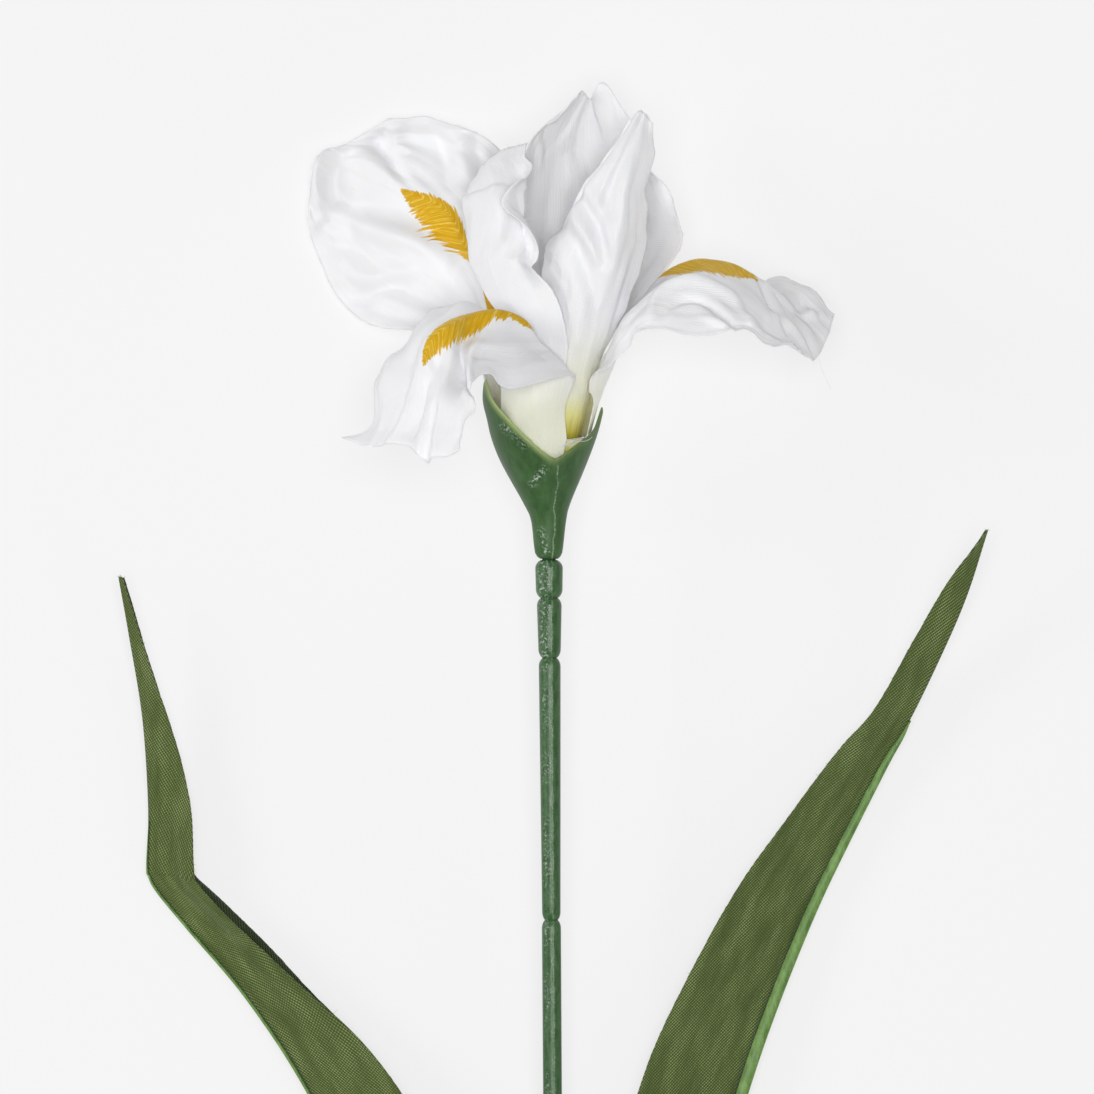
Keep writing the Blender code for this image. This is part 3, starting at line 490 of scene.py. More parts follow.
# Waves of the leaf cloth: height, length and how far they are drawn out along the blade
LEAF_WAVES = (1.1, 24.0, 2.5)
LEAF_RIPPLES = (0.45, 6.5, 8.0)
LEAF_FRAY_SHARE = 0.35
# Ribs: gap to the fold, thickness, and share of the leaf that they reach along
RIB_INSET = 0.05
RIB_THICKNESS = 1.5
RIB_REACH = 0.73
# Stalks: how deep and how far out they stand in the collar, their radius, and how far they stand out
STALK_DEPTH = 12.0
STALK_RADIUS = 1.5
STALK_OFFSET = 4.9
STALK_RISE = 1.5
COLLAR_TOP = -229.0

# Sockets that share their names with others: a map range's ends, and a colour mix's ends and result
FROM_LOW, FROM_HIGH, TO_LOW, TO_HIGH = 1, 2, 3, 4
MIX_FIRST, MIX_SECOND, MIX_RESULT = 6, 7, 2


# Settings


def linear(code):
    """Turn an sRGB hex value into linear red, green and blue."""
    parts = [int(code[at:at + 2], 16) / 255 for at in (1, 3, 5)]
    return tuple(c / 12.92 if c <= 0.04045 else ((c + 0.055) / 1.055) ** 2.4 for c in parts)


def colour_property(name, description, code):
    """A colour that a user may change, with its default as an sRGB hex value."""
    return bpy.props.FloatVectorProperty(
        name=name, description=description, default=linear(code), subtype="COLOR", size=3, min=0, max=1
    )


def length_property(name, description, millimetres):
    """A length that a user may change, with its default in millimetres."""
    return bpy.props.FloatProperty(
        name=name, description=description, default=millimetres * MM, unit="LENGTH"
    )


class IrisCloth(bpy.types.PropertyGroup):
    """Sizes and colours of the petals and leaves."""

    petal_thickness: length_property("Petal cloth", "Thickness of the petal cloth", 0.28)
    leaf_thickness: length_property("Leaf cloth", "Thickness of the leaf cloth", 0.4)
    petal_weave: length_property("Petal weave", "Distance between threads of the petals as drawn", 0.5)
    leaf_weave: length_property("Leaf weave", "Distance between threads of the leaves", 0.6)
    fray: length_property("Fray", "How far the cut edges wander", 0.15)
    row_pitch: length_property("Row pitch", "Distance between rows of a petal's grid", 0.7)
    petal_columns: bpy.props.IntProperty(
        name="Petal columns", description="Columns across a petal's grid", default=80
    )
    fold_depth: bpy.props.FloatProperty(
        name="Fold depth",
        description="How deep the folds are pressed, as a share of their heights",
        default=1.5,
    )
    white: colour_property("White", "Colour of the petals", "#F5F5F8")
    cream: colour_property("Cream", "Colour of the petals near the calyx", "#F8F8E0")
    olive: colour_property("Olive", "Colour of the petals deep in the calyx", "#C8BC2E")
    gold: colour_property("Gold", "Colour of the beards", "#E0B41A")
    leaf_green: colour_property("Leaf green", "Colour of the leaf cloth", "#5E7034")


class IrisPlastic(bpy.types.PropertyGroup):
    """Sizes and colours of the moulded pieces."""

    seam_height: length_property("Seam", "Height of the mould's parting line", 0.12)
    calyx_green: colour_property("Calyx green", "Colour of the calyx", "#406236")
    rim_green: colour_property("Rim green", "Colour of the calyx's trimmed rim", "#A8BA78")
    stem_green: colour_property("Stem green", "Colour of the stem", "#40643B")
    rib_green: colour_property("Rib green", "Colour of the ribs and the collar", "#6A9046")
    hub_green: colour_property("Hub green", "Colour of the petal hub", "#C2BA48")


# Surfaces and meshes


def in_frame(points):
    """Lean points in millimetres back about the calyx's foot, and give them in metres."""
    points = np.asarray(points, dtype=float) * MM
    u, v, w = points[..., 0], points[..., 1], points[..., 2]
    forwards = v * math.cos(LEAN) - w * math.sin(LEAN)
    upwards = v * math.sin(LEAN) + w * math.cos(LEAN)
    return np.stack((u, forwards, upwards), axis=-1) + CALYX_FOOT_AT


def spline_weights(count, where):
    """Weights of a smooth curve through count points, read at where from 0 to 1.

    Between two points the curve is the cubic that meets both with the slope of the chord across
    each, and past the ends it runs on straight.
    """
    place = np.clip(np.asarray(where, dtype=float), 0.0, 1.0) * (count - 1)
    low = np.minimum(place.astype(int), count - 2)
    f = place - low
    shares = (
        (-f**3 + 2 * f**2 - f) / 2,
        (3 * f**3 - 5 * f**2 + 2) / 2,
        (-3 * f**3 + 4 * f**2 + f) / 2,
        (f**3 - f**2) / 2,
    )
    weights = np.zeros((len(place), count + 2))
    rows = np.arange(len(place))
    for step, share in enumerate(shares):
        weights[rows, low + step] += share
    inner = weights[:, 1:-1].copy()
    inner[:, 0] += 2 * weights[:, 0]
    inner[:, 1] -= weights[:, 0]
    inner[:, -1] += 2 * weights[:, -1]
    inner[:, -2] -= weights[:, -1]
    return inner


def smooth_net(net, along, across):
    """Read a net of points as one smooth surface: splines along its rows, then across them."""
    net = np.asarray(net, dtype=float)
    row_share = spline_weights(net.shape[0], along)
    column_share = spline_weights(net.shape[1], across)
    return np.einsum("ri,cj,ijk->rck", row_share, column_share, net)


def smooth_step(value, low, high):
    """Rise from 0 at low to 1 at high, level at both ends."""
    share = np.clip((value - low) / (high - low), 0.0, 1.0)
    return share * share * (3.0 - 2.0 * share)


def running_length(points, axis):
    """Length of a grid's lines from their first point, in the points' own unit."""
    steps = np.linalg.norm(np.diff(points, axis=axis), axis=-1)
    zero = np.zeros_like(np.take(steps, [0], axis=axis))
    return np.concatenate((zero, np.cumsum(steps, axis=axis)), axis=axis)


def grid_normals(points):
    """Unit normals of a grid: the cross product of its two directions."""
    along = np.gradient(points, axis=0)
    across = np.gradient(points, axis=1)
    normals = np.cross(across, along)
    return normals / np.maximum(np.linalg.norm(normals, axis=-1, keepdims=True), 1e-9)


def ripples(x, y, length, seed, count=9, stretch=1.0):
    """Soft waves between -1 and 1: a sum of cosines of about one length in seeded directions.

    Stretch above 1 draws them out along y.
    """
    draw = np.random.default_rng(seed)
    total = np.zeros_like(x)
    for _ in range(count):
        angle = draw.uniform(0.0, math.pi)
        size = length * draw.uniform(0.7, 1.5)
        phase = draw.uniform(0.0, 2 * math.pi)
        total += np.cos(2 * math.pi * (x * math.cos(angle) + y * math.sin(angle) / stretch) / size + phase)
    return total / math.sqrt(count * 1.5)


def line_distance(x, y, line):
    """Distance from each grid point to a line of points, the share of the way along it, and which
    side it is on: 1 to the line's left and -1 to its right."""
    best = np.full(x.shape, 1e9)
    share = np.zeros_like(x)
    side = np.ones_like(x)
    spans = len(line) - 1
    for at in range(spans):
        (ax, ay), (bx, by) = line[at], line[at + 1]
        dx, dy = bx - ax, by - ay
        along = np.clip(((x - ax) * dx + (y - ay) * dy) / max(dx * dx + dy * dy, 1e-9), 0.0, 1.0)
        gap = np.hypot(x - ax - along * dx, y - ay - along * dy)
        nearer = gap < best
        best = np.where(nearer, gap, best)
        share = np.where(nearer, (at + along) / spans, share)
        side = np.where(nearer, np.sign(dx * (y - ay) - dy * (x - ax)), side)
    return best, share, side


def put_mesh(name, points, faces, attributes=None):
    """Make an object of points in millimetres. Attributes are one number or vector to a point."""
    mesh = bpy.data.meshes.new(name)
    mesh.from_pydata(in_frame(points).reshape(-1, 3).tolist(), [], faces)
    for label, values in (attributes or {}).items():
        values = np.asarray(values, dtype=np.float32)
        vector = values.ndim > 1
        layer = mesh.attributes.new(label, "FLOAT_VECTOR" if vector else "FLOAT", "POINT")
        layer.data.foreach_set("vector" if vector else "value", values.ravel())
    mesh.shade_smooth()
    made = bpy.data.objects.new(name, mesh)
    bpy.context.scene.collection.objects.link(made)
    return made


def grid_faces(rows, columns, start=0, wrap=False):
    """Quads of a grid of points stored row by row. Wrap joins its last column to its first."""
    across = np.arange(columns if wrap else columns - 1)
    low = start + np.arange(rows - 1)[:, None] * columns + across
    after = start + np.arange(rows - 1)[:, None] * columns + (across + 1) % columns
    return np.stack((low, after, after + columns, low + columns), axis=-1).reshape(-1, 4).tolist()


def skin_rings(name, rings, closed=False, attributes=None):
    """Skin rings of points into a closed surface. Closed joins the last ring to the first."""
    count, sides = rings.shape[:2]
    faces = grid_faces(count, sides, wrap=True)
    if closed:
        last = (count - 1) * sides
        turn = np.arange(sides)
        after = (turn + 1) % sides
        faces += np.stack((last + turn, last + after, after, turn), axis=-1).tolist()
    else:
        faces.append(list(range(sides))[::-1])
        faces.append(list(range((count - 1) * sides, count * sides)))
    made = put_mesh(name, rings, faces, attributes)
    face_outwards(made)
    return made


def face_outwards(piece):
    """Turn a closed mesh's faces out."""
    shape = bmesh.new()
    shape.from_mesh(piece.data)
    bmesh.ops.recalc_face_normals(shape, faces=shape.faces)
    shape.to_mesh(piece.data)
    shape.free()


def full_turn(sides):
    """Angles of a ring's points, in radians."""
    return np.linspace(0.0, 2 * math.pi, sides, endpoint=False)


# Materials


def opaque(colour):
    """A colour with full opacity, as a socket or a ramp takes it."""
    return (*colour, 1.0)


def add_node(tree, kind, links=None, stops=(), **settings):
    """Add one shader node. Links are its inputs, as values or as other nodes' sockets.

    Stops are the places and colours of a ramp, and settings the node's own properties.
    """
    made = tree.nodes.new("ShaderNode" + kind)
    for name, value in settings.items():
        setattr(made, name, value)
    for place, value in (links or {}).items():
        if isinstance(value, bpy.types.NodeSocket):
            tree.links.new(value, made.inputs[place])
        else:
            made.inputs[place].default_value = value
    if stops:
        while len(made.color_ramp.elements) < len(stops):
            made.color_ramp.elements.new(1.0)
        for element, (place, colour) in zip(made.color_ramp.elements, stops):
            element.position = place
            element.color = opaque(colour)
    return made


def new_material(name, sockets):
    """A node material, its tree and its shader, with those sockets of the shader set."""
    made = bpy.data.materials.new(name)
    made.use_nodes = True
    tree = made.node_tree
    shader = tree.nodes["Principled BSDF"]
    for socket, value in sockets.items():
        shader.inputs[socket].default_value = value
    return made, tree, shader


def thread_height(tree, cloth, pitch, weft_share):
    """Height of a plain weave: two crossed sine ridges, one to a thread, from cloth places in mm."""
    parts = add_node(tree, "SeparateXYZ", {0: cloth})
    turn_per_mm = 2 * math.pi / (pitch / MM)
    waves = []
    for axis in (0, 1):
        turn = add_node(tree, "Math", {0: parts.outputs[axis], 1: turn_per_mm}, operation="MULTIPLY")
        waves.append(add_node(tree, "Math", {0: turn.outputs[0]}, operation="SINE").outputs[0])
    weft = add_node(tree, "Math", {0: waves[1], 1: weft_share}, operation="MULTIPLY")
    both = add_node(tree, "Math", {0: waves[0], 1: weft.outputs[0]}, operation="ADD")
    return both.outputs[0]


def petal_cloth(name, settings, printed):
    """White woven polyester satin, heat-pressed: soft sheen, fine threads, light showing through.

    The dye runs from white through cream to olive at the foot. On the printed face the beard is
    laid on in gold strokes that end in teeth. The weave is drawn at 0.5 mm, about twice its real
    pitch, so that it still shows in the picture, and fine rays fan out from the foot.
    """
    made, tree, shader = new_material(
        name,
        {
            "Roughness": 0.46,
            "Specular IOR Level": 0.6,
            "Subsurface Weight": 0.65,
            "Subsurface Radius": (1.0, 0.95, 0.9),
            "Subsurface Scale": 0.3 * MM,
            "Sheen Weight": 0.08,
            "Sheen Roughness": 0.4,
        },
    )
    cloth = add_node(tree, "Attribute", attribute_name="cloth_mm").outputs["Vector"]
    dye = add_node(tree, "Attribute", attribute_name="dye").outputs["Fac"]
    streaks = add_node(tree, "Mapping", {0: cloth, "Scale": (1.1, 0.12, 1.0)})
    streak = add_node(tree, "TexNoise", {"Vector": streaks.outputs[0], "Scale": 1.0, "Detail": 3.0})
    uneven = add_node(tree, "MapRange", {0: streak.outputs["Fac"], TO_LOW: -0.11, TO_HIGH: 0.11})
    dyed = add_node(tree, "Math", {0: dye, 1: uneven.outputs[0]}, operation="ADD", use_clamp=True)
    kept_white = add_node(tree, "Math", {0: dye, 1: 0.02}, operation="GREATER_THAN")
    dyed = add_node(tree, "Math", {0: dyed.outputs[0], 1: kept_white.outputs[0]}, operation="MULTIPLY")
    shades = ((0.0, settings.white), (0.54, settings.cream), (0.76, linear("#F0EA98")), (1.0, settings.olive))
    ground = add_node(tree, "ValToRGB", {0: dyed.outputs[0]}, shades).outputs["Color"]
    tree.links.new(ground, shader.inputs["Base Color"])
    if printed:
        print_beard(tree, shader, ground, settings)
    fanned = add_node(tree, "Mapping", {0: cloth, "Scale": (0.0, 0.03, 0.6)}).outputs[0]
    ray = add_node(tree, "TexNoise", {"Vector": fanned, "Scale": 1.0, "Detail": 4.0, "Roughness": 0.55})
    rays = add_node(tree, "Bump", {"Height": ray.outputs["Fac"], "Strength": 0.4, "Distance": 0.5 * MM})
    weave = thread_height(tree, cloth, settings.petal_weave, 0.7)
    bump = add_node(
        tree, "Bump", {"Height": weave, "Strength": 0.25, "Distance": 0.05 * MM, "Normal": rays.outputs[0]}
    )
    tree.links.new(bump.outputs[0], shader.inputs["Normal"])
    return made


def print_beard(tree, shader, ground, settings):
    """Matt gold paint brushed on: strokes of uneven gold, each ending in a tooth of its own length."""
    strokes = add_node(tree, "Attribute", attribute_name="beard").outputs["Vector"]
    beard = add_node(tree, "SeparateXYZ", {0: strokes})
    stroke = add_node(
        tree, "TexNoise", {"W": beard.outputs[1], "Scale": 0.95, "Detail": 3.0, "Roughness": 0.7},
        noise_dimensions="1D",
    )
    ends = {FROM_LOW: 0.3, FROM_HIGH: 0.7, TO_LOW: -1.1, TO_HIGH: 0.4}
    tooth = add_node(tree, "MapRange", {0: stroke.outputs["Fac"], **ends}, clamp=False)
    reach = add_node(tree, "Math", {0: tooth.outputs[0], 1: beard.outputs[2]}, operation="MULTIPLY")
    edge = add_node(tree, "Math", {0: beard.outputs[0], 1: reach.outputs[0]}, operation="ADD")
    inside = add_node(tree, "MapRange", {0: edge.outputs[0], FROM_LOW: -0.08, FROM_HIGH: 0.12})
    brushed = add_node(tree, "Mapping", {0: strokes, "Scale": (0.3, 1.4, 0.0)}).outputs[0]
    fibre = add_node(tree, "TexNoise", {"Vector": brushed, "Scale": 1.0, "Detail": 4.0, "Roughness": 0.6})
    shades = ((0.32, linear("#D4A618")), (0.5, settings.gold), (0.68, linear("#F0D462")))
    gold = add_node(tree, "ValToRGB", {0: fibre.outputs["Fac"]}, shades).outputs["Color"]
    sockets = {0: inside.outputs[0], MIX_FIRST: ground, MIX_SECOND: gold}
    painted = add_node(tree, "Mix", sockets, data_type="RGBA")
    tree.links.new(painted.outputs[MIX_RESULT], shader.inputs["Base Color"])
    shine = add_node(tree, "MapRange", {0: inside.outputs[0], TO_LOW: 0.6, TO_HIGH: 0.15})
    tree.links.new(shine.outputs[0], shader.inputs["Specular IOR Level"])


def leaf_cloth(name, shades, settings):
    """Green woven polyester: coarse enough that single light threads show as rows of dashes.

    Shades are the colours of the gaps, of the cloth and of the threads. Soft streaks along the
    blade show where the dye took unevenly.
    """
    made, tree, shader = new_material(
        name, {"Roughness": 0.7, "Specular IOR Level": 0.3, "Sheen Weight": 0.15}
    )
    cloth = add_node(tree, "Attribute", attribute_name="cloth_mm").outputs["Vector"]
    turned = add_node(tree, "Mapping", {0: cloth, "Rotation": (0.0, 0.0, math.radians(28.0))}).outputs[0]
    weave = thread_height(tree, turned, settings.leaf_weave, 0.55)
    drawn = add_node(tree, "Mapping", {0: cloth, "Scale": (0.3, 0.06, 0.0)}).outputs[0]
    cloud = add_node(tree, "TexNoise", {"Vector": drawn, "Scale": 1.0, "Detail": 4.0, "Roughness": 0.6})
    dashes = add_node(tree, "MapRange", {0: weave, FROM_LOW: -0.6, FROM_HIGH: 1.5})
    ends = {FROM_LOW: 0.3, FROM_HIGH: 0.7, TO_LOW: 0.42, TO_HIGH: 1.3}
    lit = add_node(tree, "MapRange", {0: cloud.outputs["Fac"], **ends})
    share = add_node(tree, "Math", {0: dashes.outputs[0], 1: lit.outputs[0]}, operation="MULTIPLY")
    stops = tuple(zip((0.0, 0.45, 1.0), shades))
    tint = add_node(tree, "ValToRGB", {0: share.outputs[0]}, stops)
    tree.links.new(tint.outputs["Color"], shader.inputs["Base Color"])
    bump = add_node(tree, "Bump", {"Height": weave, "Strength": 0.4, "Distance": 0.08 * MM})
    tree.links.new(bump.outputs[0], shader.inputs["Normal"])
    return made


def filament(name, dark, light, patches, roughness):
    """Single polyester filaments pulled from a weave: smooth and thin, and unevenly dyed.

    Patches is how many patches of tone there are to a metre.
    """
    made, tree, shader = new_material(name, {"Roughness": roughness})
    place = add_node(tree, "TexCoord").outputs["Object"]
    tone = add_node(tree, "TexNoise", {"Vector": place, "Scale": patches})
    tint = add_node(tree, "ValToRGB", {0: tone.outputs["Fac"]}, ((0.3, dark), (0.7, light)))
    tree.links.new(tint.outputs["Color"], shader.inputs["Base Color"])
    return made


def moulded_plastic(name, shades, roughness, grain, specular=0.4):
    """Moulded polyethylene: waxy gloss, with a faint mottle drawn out along the piece by the flow.

    Shades are its dark, its own and its light colour, and grain is the mottle's size in millimetres.
    """
    made, tree, shader = new_material(name, {"Specular IOR Level": specular})
    place = add_node(tree, "TexCoord").outputs["Object"]
    flow = add_node(tree, "Mapping", {0: place, "Scale": (1.0, 0.3, 1.0)}).outputs[0]
    sockets = {"Vector": flow, "Scale": 1.0 / (grain * MM), "Detail": 6.0, "Roughness": 0.62}
    mottle = add_node(tree, "TexNoise", sockets).outputs["Fac"]
    tint = add_node(tree, "ValToRGB", {0: mottle}, tuple(zip((0.32, 0.5, 0.68), shades)))
    tree.links.new(tint.outputs["Color"], shader.inputs["Base Color"])
    ends = {FROM_LOW: 0.35, FROM_HIGH: 0.65, TO_LOW: roughness - 0.06, TO_HIGH: roughness + 0.1}
    gloss = add_node(tree, "MapRange", {0: mottle, **ends})
    tree.links.new(gloss.outputs[0], shader.inputs["Roughness"])
    bump = add_node(tree, "Bump", {"Height": mottle, "Strength": 0.3, "Distance": 0.1 * MM})
    tree.links.new(bump.outputs[0], shader.inputs["Normal"])
    return made


def worn_plastic_painted_highlight(name, shades, roughness, grain, specular, rim_colour):
    """Moulded polyethylene that has been handled: its trimmed rim is paler, and paler still on the lit
    side as painted highlight. Its parting line shows as pale dashes, and its scuffs are pitted, with
    bright specks 0.3 mm across that are partly painted glints."""
    made = moulded_plastic(name, shades, roughness, grain, specular)
    tree = made.node_tree
    shader = tree.nodes["Principled BSDF"]
    tint, gloss, first_bump = (
        shader.inputs[socket].links[0].from_socket for socket in ("Base Color", "Roughness", "Normal")
    )
    place = add_node(tree, "TexCoord").outputs["Object"]
    rim, seam, scuff_and_glint = (
        add_node(tree, "Attribute", attribute_name=mark).outputs["Fac"] for mark in ("rim", "seam", "scuff_and_glint")
    )
    sockets = {"Vector": place, "Scale": 1.0 / (0.7 * MM), "Detail": 3.0, "Roughness": 0.65}
    pits = add_node(tree, "TexNoise", sockets).outputs["Fac"]
    speck_and_glint = add_node(tree, "MapRange", {0: pits, FROM_LOW: 0.53, FROM_HIGH: 0.66}).outputs[0]
    ends = {FROM_LOW: 0.42, FROM_HIGH: 0.6, TO_LOW: 0.05, TO_HIGH: 0.7}
    dash = add_node(tree, "MapRange", {0: pits, **ends}).outputs[0]
    line = add_node(tree, "Math", {0: seam, 1: dash}, operation="MULTIPLY").outputs[0]
    mark = add_node(tree, "Math", {0: scuff_and_glint, 1: speck_and_glint}, operation="MULTIPLY", use_clamp=True).outputs[0]
    # The rim's pale colour is partly painted highlight, and the specks' pale colour partly painted glints.
    for share, colour in ((rim, rim_colour), (line, linear("#A9BE9A")), (mark, linear("#C6D2C6"))):
        sockets = {0: share, MIX_FIRST: tint, MIX_SECOND: opaque(colour)}
        tint = add_node(tree, "Mix", sockets, data_type="RGBA").outputs[MIX_RESULT]
    tree.links.new(tint, shader.inputs["Base Color"])
    polish = add_node(tree, "MapRange", {0: scuff_and_glint, TO_LOW: 0.0, TO_HIGH: -0.16}).outputs[0]
    rough = add_node(tree, "Math", {0: gloss, 1: polish}, operation="ADD").outputs[0]
    tree.links.new(rough, shader.inputs["Roughness"])
    depth = add_node(tree, "MapRange", {0: scuff_and_glint, TO_LOW: 0.08, TO_HIGH: 0.7}).outputs[0]
    sockets = {"Height": pits, "Strength": depth, "Distance": 0.4 * MM, "Normal": first_bump}
    pitted = add_node(tree, "Bump", sockets)
    tree.links.new(pitted.outputs[0], shader.inputs["Normal"])
    return made


def drawn_steel():
    """Drawn steel wire: grey metal with fine lines along its length."""
    made, tree, shader = new_material("drawn_steel", {"Metallic": 1.0})
    place = add_node(tree, "TexCoord").outputs["Object"]
    drawn = add_node(tree, "Mapping", {0: place, "Scale": (8000.0, 200.0, 8000.0)}).outputs[0]
    lines = add_node(tree, "TexNoise", {"Vector": drawn, "Scale": 1.0, "Detail": 2.0})
    rough = add_node(tree, "MapRange", {0: lines.outputs["Fac"], TO_LOW: 0.25, TO_HIGH: 0.45})
    shades = ((0.3, linear("#8A8A88")), (0.7, linear("#B4B4B0")))
    tint = add_node(tree, "ValToRGB", {0: lines.outputs["Fac"]}, shades)
    tree.links.new(tint.outputs["Color"], shader.inputs["Base Color"])
    tree.links.new(rough.outputs[0], shader.inputs["Roughness"])
    return made


def lit_table():
    """Opal acrylic table lit from below: matt and pale, with a glow that keeps the shadows faint."""
    made, tree, shader = new_material(
        "opal_acrylic",
        {
            "Roughness": 0.95,
            "Specular IOR Level": 0.0,
            "Emission Color": (1.0, 1.0, 1.0, 1.0),
            "Emission Strength": 0.68,
        },
    )
    place = add_node(tree, "TexCoord").outputs["Object"]
    tooth = add_node(tree, "TexNoise", {"Vector": place, "Scale": 3.0, "Detail": 1.0})
    shades = ((0.3, linear("#8B8B8B")), (0.7, linear("#8D8D8D")))
    tint = add_node(tree, "ValToRGB", {0: tooth.outputs["Fac"]}, shades)
    tree.links.new(tint.outputs["Color"], shader.inputs["Base Color"])
    return made


# Petals


def funnel_points(funnel, angles):
    """Rings of a funnel: each point is its radius turned about the bloom's axis, at its height."""
    turn = np.radians(angles)
    radius, height = np.array(funnel).T
    return np.stack(
        (
            BLOOM_SHIFT + radius[:, None] * np.cos(turn),
            np.repeat(height[:, None], len(turn), axis=1),
            radius[:, None] * np.sin(turn),
        ),
        axis=-1,
    )


@dataclass
class Surface:
    """A lobe's grid: points in mm, s down its rows, t across, and cloth places x, y in mm."""

    points: np.ndarray
    s: np.ndarray
    t: np.ndarray
    x: np.ndarray
    y: np.ndarray


def roll_size(roll, s):
    """Share of its full size that a roll has at each s: a half wave along its stretch."""
    way = np.clip((s - roll.start) / (roll.end - roll.start), 0.0, 1.0)
    return np.sin(math.pi * way) ** 0.8


def lobe_surface(lobe, funnel, settings):
    """A lobe's smooth surface: its third of the funnel's rings, then its net, read as one spline.

    Rows in the funnel are the same for every lobe, so that they join. Past it they are one row
    pitch apart along the midrib. Where a margin is rolled, its rows run on straight by the cloth
    that the roll takes, and are then rolled up.
    """
    corners = lobe.middle + LOBE_HALF_ANGLE * np.array((1.0, 0.5, 0.0, -0.5, -1.0))
    net = np.concatenate((funnel_points(funnel, corners), np.array(lobe.net)[:, ::lobe.side]))
    spans = len(net) - 1
    rim = (RINGS - 1) / spans
    trial = np.linspace(rim, 1.0, 400)
    midrib = smooth_net(net, trial, np.array((0.0, 0.5, 1.0)))
    travelled = running_length(midrib, 0).mean(axis=1)
    rows = int(travelled[-1] / (settings.row_pitch / MM))
    blade = np.interp(np.linspace(0.0, travelled[-1], rows), travelled, trial)
    foot = np.linspace(0.0, rim, (RINGS - 1) * FUNNEL_STEPS, endpoint=False)
    along = np.concatenate((foot, blade))
    s = (along - rim) / (1.0 - rim)
    across = np.linspace(0.0, 1.0, settings.petal_columns + 1)
    plain = smooth_net(net, along, across)
    width = running_length(plain, 1)[:, -1]
    longer = np.zeros((2, len(s)))
    for roll in lobe.rolls:
        taken = roll.radius * (math.radians(abs(roll.turn)) - 1.0) + roll.flat
        longer[roll.edge] += roll_size(roll, s) * taken
    reach = across * (width + longer.sum(axis=0))[:, None] - longer[0][:, None]
    place = reach / width[:, None]
    if lobe.slit:
        above, taken = lobe.slit
        way = np.clip(s / above, 0.0, 1.0)
        cut = taken * np.sin(math.pi * way**0.3) ** 0.5
        place = cut[:, None] + (1.0 - cut[:, None]) * place
    lines = np.einsum("ri,ijk->rjk", spline_weights(len(net), along), net)
    shares = spline_weights(net.shape[1], np.clip(place, 0.0, 1.0).ravel()).reshape(*place.shape, -1)
    points = np.einsum("rcj,rjk->rck", shares, lines)
    beyond = (np.minimum(reach, 0.0), np.maximum(reach - width[:, None], 0.0))
    for edge, inner, sign, past in ((0, 1, -1.0, beyond[0]), (-1, -2, 1.0, beyond[1])):
        outward = sign * (plain[:, edge] - plain[:, inner])
        outward /= np.linalg.norm(outward, axis=-1, keepdims=True)
        points += past[..., None] * outward[:, None]
    middle = settings.petal_columns // 2
    x = running_length(points, 1)
    x -= x[:, [middle]]
    y = np.repeat(running_length(points, 0)[:, [middle]], len(across), axis=1)
    s_grid, t_grid = np.meshgrid(s, across, indexing="ij")
    surface = Surface(points, s_grid, t_grid, x, y)
    for roll in lobe.rolls:
        roll_up(lobe, surface, roll, longer[roll.edge])
    return surface


def shown_normals(lobe, points):
    """Unit normals of a lobe on the face that shows."""
    return -lobe.face * grid_normals(points)


def roll_up(lobe, surface, roll, longer):
    """Roll one margin up: each step from the midrib out is turned towards the face that shows,
    by its distance past the bend's start over the bend's radius, up to the full turn."""
    size = roll_size(roll, surface.s[:, 0])[:, None]
    radius = np.maximum(roll.radius * size, 1e-3)
    middle = surface.t.shape[1] // 2
    normals = shown_normals(lobe, surface.points)
    outwards = slice(middle, None) if roll.edge else slice(middle, None, -1)
    points = surface.points[:, outwards]
    normals = normals[:, outwards]
    far = np.abs(surface.x[:, outwards])
    start = far[:, [-1]] - longer[:, None] - radius
    step = np.diff(points, axis=1)
    facing = normals[:, :-1] + normals[:, 1:]
    facing /= np.linalg.norm(facing, axis=-1, keepdims=True)
    full = math.radians(roll.turn) * size
    turned = np.sign(full) * np.clip((far[:, 1:] - start) / radius, 0.0, np.abs(full))
    length = np.linalg.norm(step, axis=-1, keepdims=True)
    step = step * np.cos(turned)[..., None] + facing * length * np.sin(turned)[..., None]
    rolled = np.concatenate((points[:, :1], points[:, :1] + np.cumsum(step, axis=1)), axis=1)
    surface.points[:, outwards] = rolled


def cloth_place(surface, s, t):
    """Cloth place x, y in mm of the places s, t."""
    row = np.interp(s, surface.s[:, 0], np.arange(len(surface.s)))
    column = np.asarray(t) * (surface.t.shape[1] - 1)
    low_row = np.minimum(row.astype(int), surface.s.shape[0] - 2)
    low_column = np.minimum(column.astype(int), surface.t.shape[1] - 2)
    f, g = row - low_row, column - low_column
    found = []
    for values in (surface.x, surface.y):
        upper = values[low_row, low_column] * (1 - g) + values[low_row, low_column + 1] * g
        lower = values[low_row + 1, low_column] * (1 - g) + values[low_row + 1, low_column + 1] * g
        found.append(upper * (1 - f) + lower * f)
    return np.stack(found, axis=-1)


def fold_height(surface, fold, lapped=False):
    """Height of one fold: its full height on its line, falling off like a bell to each side.

    A lap rises to its height within a millimetre round its line, and only its left side stands up.
    """
    places, width, height = fold
    s, t = (spline_weights(len(places), np.linspace(0.0, 1.0, 16)) @ np.array(places)).T
    line = cloth_place(surface, s, np.clip(t, 0.0, 1.0))
    gap, share, side = line_distance(surface.x, surface.y, line)
    ends = np.sin(math.pi * np.clip(share, 0.06, 0.94)) ** 0.6
    if not lapped:
        return height * ends * np.exp(-((gap / width) ** 2))
    rise = smooth_step(gap * side, -0.5, 0.5)
    return height * ends * rise * np.exp(-((gap / width) ** 2))


